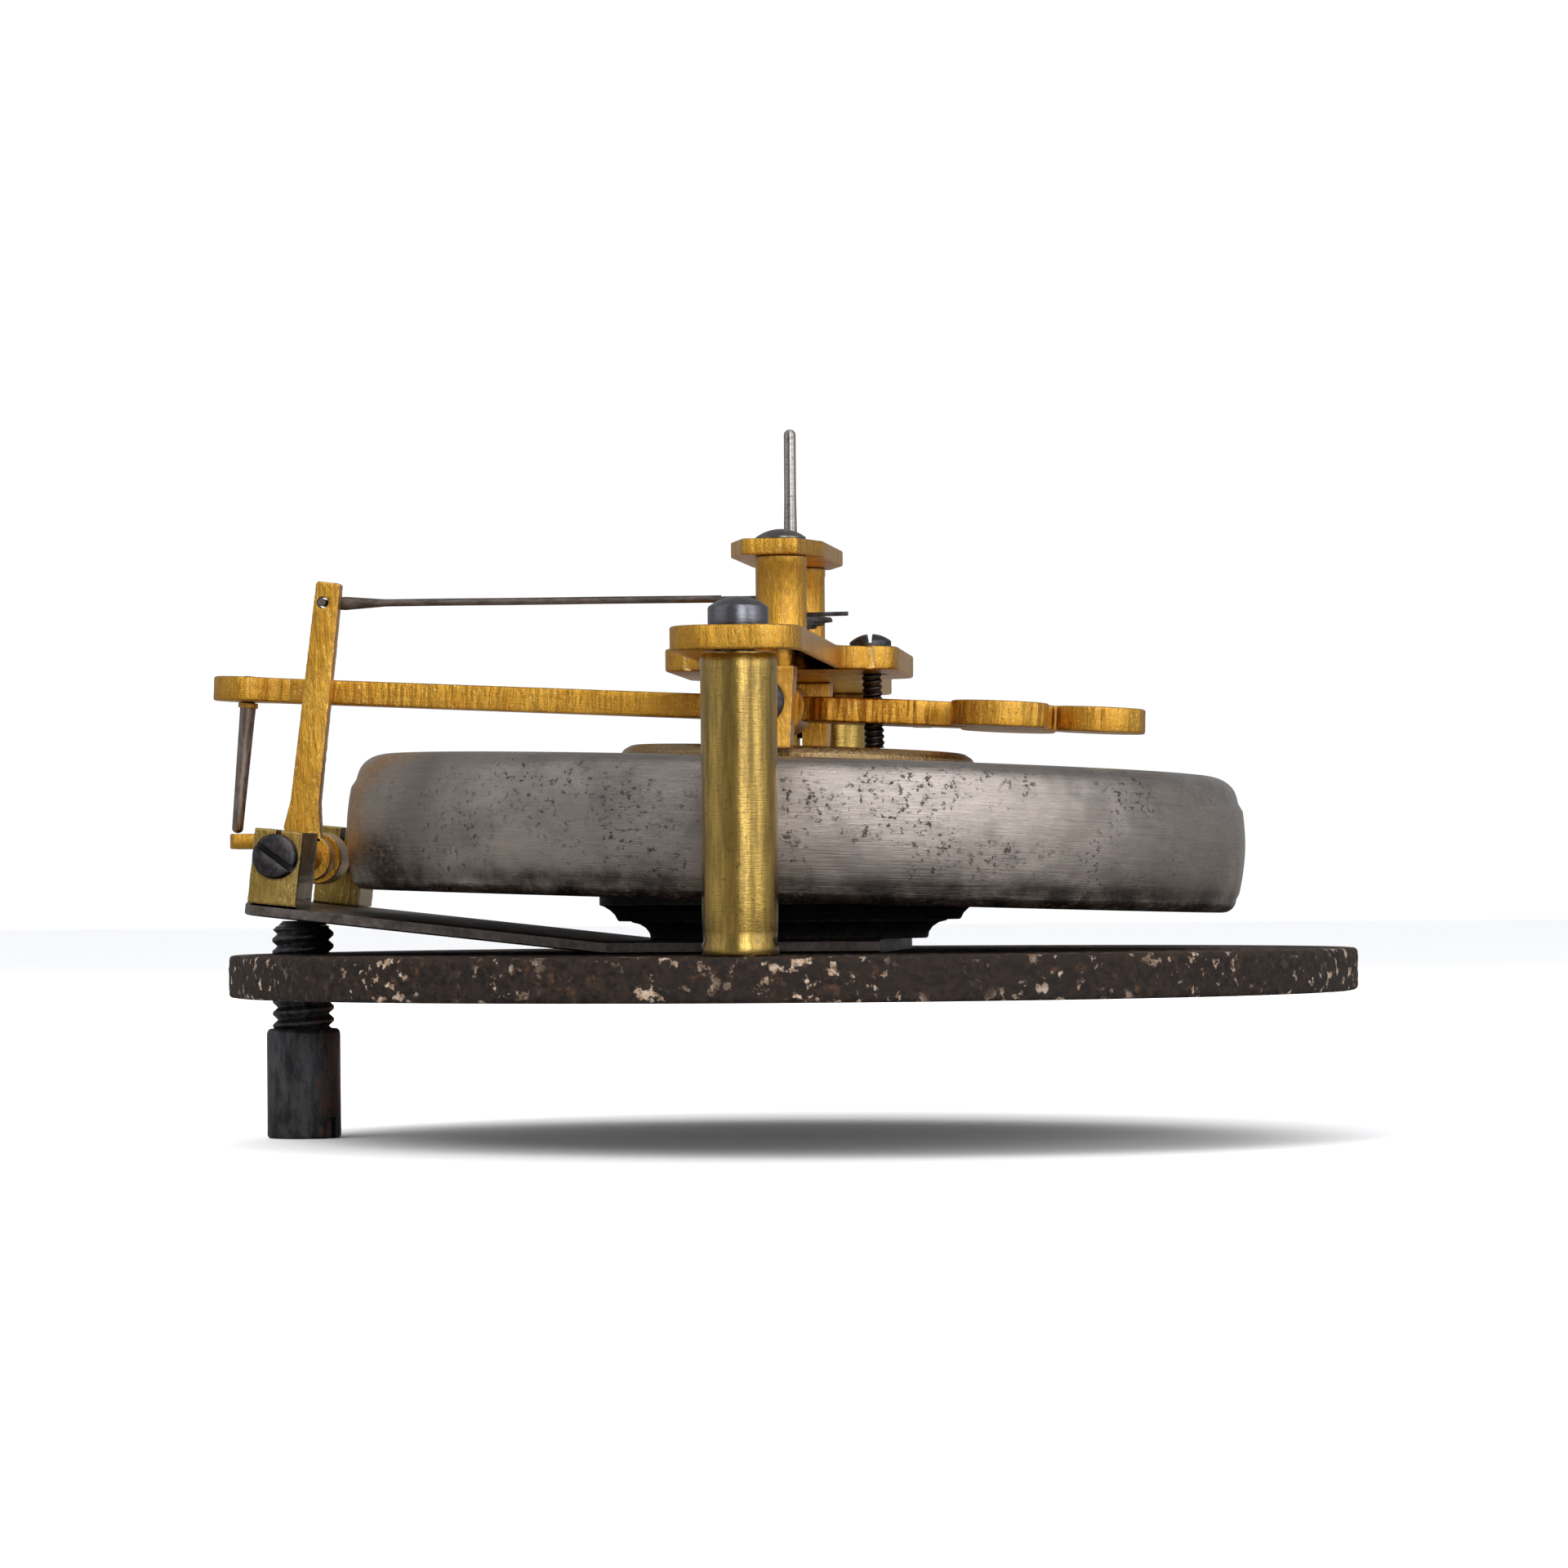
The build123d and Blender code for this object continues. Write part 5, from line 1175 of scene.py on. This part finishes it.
def adjusting_screw():
    low, high = box("adjusting_screw")
    at, head_z, head_r = centre("adjusting_screw"), -2.15, (high.x - low.x) / 2
    shank = threaded(2.0, 0.34, 0.8, head_z - 0.05, 4.55, sides=64, per_turn=16, fade=0.3)
    nose = lathe([(0, 4.56), (1.62, 4.56), (1.3, high.z), (0, high.z)], 48)
    body = raw("adjusting_thread", moved(joined(shank, nose), shifted(at.x, at.y)))
    tall = head_z - low.z
    profile = [(0, 0), (head_r - 0.2, 0), (head_r - 0.06, 0.06), (head_r, 0.2), (head_r, tall - 0.35)]
    profile += [(head_r - 0.05, tall - 0.15), (head_r - 0.2, tall), (0, tall)]

    def worn(angle, z):
        return 0.02 * noise.noise(Vector((2 * cos(angle), 2 * sin(angle), z * 0.7)))

    head = raw("adjusting_head", moved(lathe(profile, 96, wobble=worn), shifted(z=low.z)))
    carve(head, moved(block(0.6, 9, 2.8), Matrix.Rotation(radians(66), 4, "Z") @ shifted(z=low.z)))
    soften(head, 0.06)
    head.data.transform(shifted(at.x, at.y))
    finish = blued_steel("adjusting_blue", rust_side=(0.95, -0.15, 0.0))
    settle(joined_piece([body, head], "adjusting_screw_whole"), "adjuster", finish, "adjusting_screw")


# ------------------------------------------------------------------ capsule
def capsule_cup(plane, side, height, wall, rim):
    """The spun cup: flat floor, barrel-shaped side and an inturned rim."""

    def dented(angle, h):
        place = Vector((3 * cos(angle), 3 * sin(angle), h * 0.12))
        return 0.10 * noise.noise(place) + 0.03 * noise.noise(place * 4) if h > 0.3 else 0

    outer = [(r, 0) for r in (0, 9.0, 13.0, 18.0, 23.0)]
    for a in [pi / 2 * i / 6 for i in range(7)]:
        outer.append((side - 1.35 + 0.85 * sin(a), 0.85 - 0.85 * cos(a)))
    for i in range(1, 16):
        h = 0.85 + (6.9 - 0.85) * i / 16
        outer.append((side - 0.5 + 0.5 * (1 - ((h - 4.1) / 3.6) ** 2), h))
    outer += [(side - 0.56, 7.05), (side - 0.60, 7.22)]
    for a in [pi / 2 * i / 8 for i in range(1, 9)]:
        outer.append((side - 2.55 + 1.9 * cos(a), 7.22 + 1.5 * sin(a)))
    outer += [(rim + 0.25, height - 0.02), (rim, height - 0.1), (rim, height - wall)]
    inner = [(side - 1.6, 8.0), (side - 1.05, 7.0), (side - wall, 4.2), (side - 1.0, 1.2), (side - 1.6, wall)]
    return raw("capsule_cup_spun", moved(lathe(outer + inner + [(0, wall)], 240, wobble=dented), plane))


def capsule():
    side, height, wall, rim, skin_low, ripple = 29.05, 8.75, 0.5, 25.8, 8.2, 0.22
    plane = leaning(CAPSULE_X, 0, CAPSULE_Z, CAPSULE_LEAN)
    finish = nickel_silver("nickel_silver", CAPSULE_X, CAPSULE_Z, CAPSULE_LEAN, height)
    settle(capsule_cup(plane, side, height, wall, rim), "frame", finish, "capsule_cup")
    upper = []
    for i in range(65):
        wave = ripple * (0.5 - 0.5 * cos(2 * pi * 4 * i / 64))
        upper.append((10.4 + (rim - 0.05 - 10.4) * i / 64, skin_low + 0.3 + wave))
    lower = [(r, h - 0.3) for r, h in reversed(upper)]
    diaphragm = raw("capsule_diaphragm_rippled", moved(lathe(upper + lower, 160, closed=True), plane))
    # By this name Blender holds the frame's own plain material: the diaphragm hasn't the cup's finish.
    settle(diaphragm, "frame", bpy.data.materials["nickel_silver"], "capsule_diaphragm")


def crown():
    plane = leaning(CAPSULE_X, 0, CAPSULE_Z, CAPSULE_LEAN)
    bore, low, top = 1.61, 8.9, 9.8
    profile = [(bore, low), (11.3, low), (11.4, low + 0.08), (11.4, 9.3), (11.25, 9.5), (10.85, top - 0.06)]
    profile += [(10.6, top), (bore, top)]
    piece = raw("capsule_crown_turned", moved(lathe(profile, 160, closed=True), plane))
    settle(piece, "capsule_top", brass_crown, "capsule_crown")


def capsule_foot():
    low, high = box("capsule_foot")
    floor = low.z
    profile = [(0, floor), (8.9, floor), (9.0, floor + 0.1), (9.05, 3.9), (9.3, 4.25), (9.7, 4.5)]
    profile += [(10.2, 4.62), (10.25, 4.7), (11.05, 4.7), (11.15, 4.8), (11.3, 5.1), (11.6, 5.4)]
    profile += [(12.0, 5.65), (12.3, 5.75), (12.3, 7.2), (0, 7.2)]
    piece = raw("capsule_foot_turned", moved(lathe(profile, 120), shifted((low.x + high.x) / 2)))
    above = leaning(CAPSULE_X, 0, CAPSULE_Z, CAPSULE_LEAN) @ shifted(z=10.0)
    carve(piece, moved(block(60, 60, 20), above))
    settle(piece, "frame", black_lacquer("foot_black"), "capsule_foot")


# ------------------------------------------------------------------ CAD nodes that stay, with their finishes
def kept_nodes():
    finishes = {
        "pillar_foot_screws": screw_steel, "tongue_screws": screw_steel, "capsule_fixing_screw": screw_steel,
        "lever_block_screws": screw_steel, "lever_shaft": brass_lever, "crank_shaft": brass_upright,
        "hairspring_stud": brass_upright, "capsule_spring": spring_steel, "capsule_stud": arbor_steel,
    }
    for node, finish in finishes.items():
        for slot in frame["nodes"][node].material_slots:
            slot.material = finish


# ------------------------------------------------------------------ stage, light, camera
CAMERA_TURN, CAMERA_ROLL = 5.4, -0.42  # degrees
CAMERA_DISTANCE, CAMERA_HEIGHT = 0.350, 0.006
FLOOR_HALF = 3.0
LOUDEST = 4.0  # ramp colours stop at 1, so the ramp holds brightness / LOUDEST
# What polished metal mirrors: (degrees right of the camera's own direction, brightness).
STUDIO = (
    (-180, 0.30), (-106, 0.36), (-94, 0.64), (-52, 0.66), (-45, 0.27), (-5, 0.25), (1, 0.75), (5, 3.0),
    (25, 3.2), (32, 0.64), (40, 0.60), (46, 2.2), (62, 2.0), (76, 0.95), (100, 0.50), (120, 0.32),
    (180, 0.30),
)


def studio():
    """A white backdrop for camera and soft light; mirrored rays see upright bright and dark panels."""
    world = bpy.data.worlds.new("studio")
    bpy.context.scene.world = world
    world.use_nodes = True
    background = world.node_tree.nodes["Background"]
    background.inputs[0].default_value = (0.97, 0.98, 1.0, 1)
    n = Nodes(world.node_tree)
    around = {"Vector": n.node("ShaderNodeTexCoord").outputs["Generated"], "Angle": radians(90 - CAMERA_TURN)}
    turned = n.node("ShaderNodeVectorRotate", around, rotation_type="Z_AXIS").outputs[0]
    parts = n.node("ShaderNodeSeparateXYZ", {0: turned}).outputs
    direction = n.math("ARCTAN2", parts[1], parts[0])
    share = n.node("ShaderNodeMapRange", {"Value": direction, "From Min": -pi, "From Max": pi}).outputs[0]
    ramp = n.node("ShaderNodeValToRGB", {0: share})
    stops = ramp.color_ramp.elements
    for index, (turn, bright) in enumerate(STUDIO):
        stop = stops[index] if index < 2 else stops.new(1.0)
        stop.position = (turn + 180) / 360
        stop.color = (*[bright / LOUDEST] * 3, 1)
    mirrored = n.math("MULTIPLY", ramp.outputs[0], LOUDEST)
    rays = n.node("ShaderNodeLightPath").outputs
    backdrop = {"Value": rays["Is Camera Ray"], "To Min": 1.12, "To Max": 1.08}
    plain = n.node("ShaderNodeMapRange", backdrop).outputs[0]
    choice = n.node("ShaderNodeMix", {"A": plain, "Factor": rays["Is Glossy Ray"], "B": mirrored})
    n.tree.links.new(choice.outputs[0], background.inputs[1])
    bpy.context.scene.view_settings.view_transform = "Standard"


def stage():
    corners = [(-1, -1), (1, -1), (1, 1), (-1, 1)]
    mesh = bpy.data.meshes.new("floor")
    points = [(x * FLOOR_HALF, y * FLOOR_HALF, cad_bounds[0][2]) for x, y in corners]
    mesh.from_pydata(points, [], [(0, 1, 2, 3)])
    floor = bpy.data.objects.new("floor", mesh)
    bpy.context.scene.collection.objects.link(floor)
    s = Shader("floor_pale")
    pale = s.mix(s.noise(s.place, 0.02, 3.0), (0.86, 0.86, 0.86), (0.90, 0.90, 0.90))
    mirrored = s.node("ShaderNodeLightPath").outputs["Is Glossy Ray"]
    # Glossy rays see the floor dark grey instead of pale: a painted dark reflection on the metal's downward
    # faces.
    mesh.materials.append(s.finish(s.mix(mirrored, pale, (0.16, 0.15, 0.14)), 0.9, 0.0))


def softbox(name, place, target, size, power, tone=(1, 1, 1)):
    light = bpy.data.lights.new(name, "AREA")
    light.shape = "RECTANGLE"
    light.size, light.size_y = size
    light.energy = power
    light.color = tone
    lamp = bpy.data.objects.new(name, light)
    lamp.location = place
    lamp.visible_glossy = False
    lamp.rotation_euler = (Vector(target) - Vector(place)).to_track_quat("-Z", "Y").to_euler()
    bpy.context.scene.collection.objects.link(lamp)


def lights():
    heart = (0, 0, 0.015)
    softbox("key", (-0.28, -0.40, 0.42), heart, (0.35, 0.35), 3.0)
    softbox("fill", (0.45, -0.45, 0.16), heart, (0.30, 0.45), 1.5)
    softbox("back", (0.10, 0.55, 0.40), heart, (0.60, 0.25), 3.0)


def camera():
    lens = bpy.data.cameras.new("camera")
    lens.sensor_width, lens.lens = 36.0, 124.0
    lens.shift_x, lens.shift_y = -0.0058, 0.074
    lens.clip_start = 0.01
    eye = bpy.data.objects.new("camera", lens)
    turn = radians(CAMERA_TURN)
    eye.location = (CAMERA_DISTANCE * sin(turn), -CAMERA_DISTANCE * cos(turn), CAMERA_HEIGHT)
    upright = Matrix.Rotation(turn, 4, "Z") @ Matrix.Rotation(radians(90), 4, "X")
    eye.rotation_euler = (upright @ Matrix.Rotation(radians(CAMERA_ROLL), 4, "Z")).to_euler()
    bpy.context.scene.collection.objects.link(eye)
    bpy.context.scene.camera = eye


base_plate()
pillars()
bridge_cap_screws()
bridge_plate()
top_cock()
cock_pillars()
cock_screws()
lever_blocks()
crank_blocks()
pivot_screws("lever_pivot_screws", lever_at, "frame", 3.2, (25, 70))
pivot_screws("crank_pivot_screws", crank_at, "tongue", 6.1, (53, 10))
lever_arm()
drop_pin()
contact_screw()
crank_bar()
crank_fork()
link_wire()
chain()
pointer_arbor()
drum()
chain_wrap()
hairspring_collet()
hairspring()
sprung = tongue()
adjusting_screw()
capsule()
crown()
capsule_foot()
kept_nodes()
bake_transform(sprung)
stage()
studio()
lights()
camera()
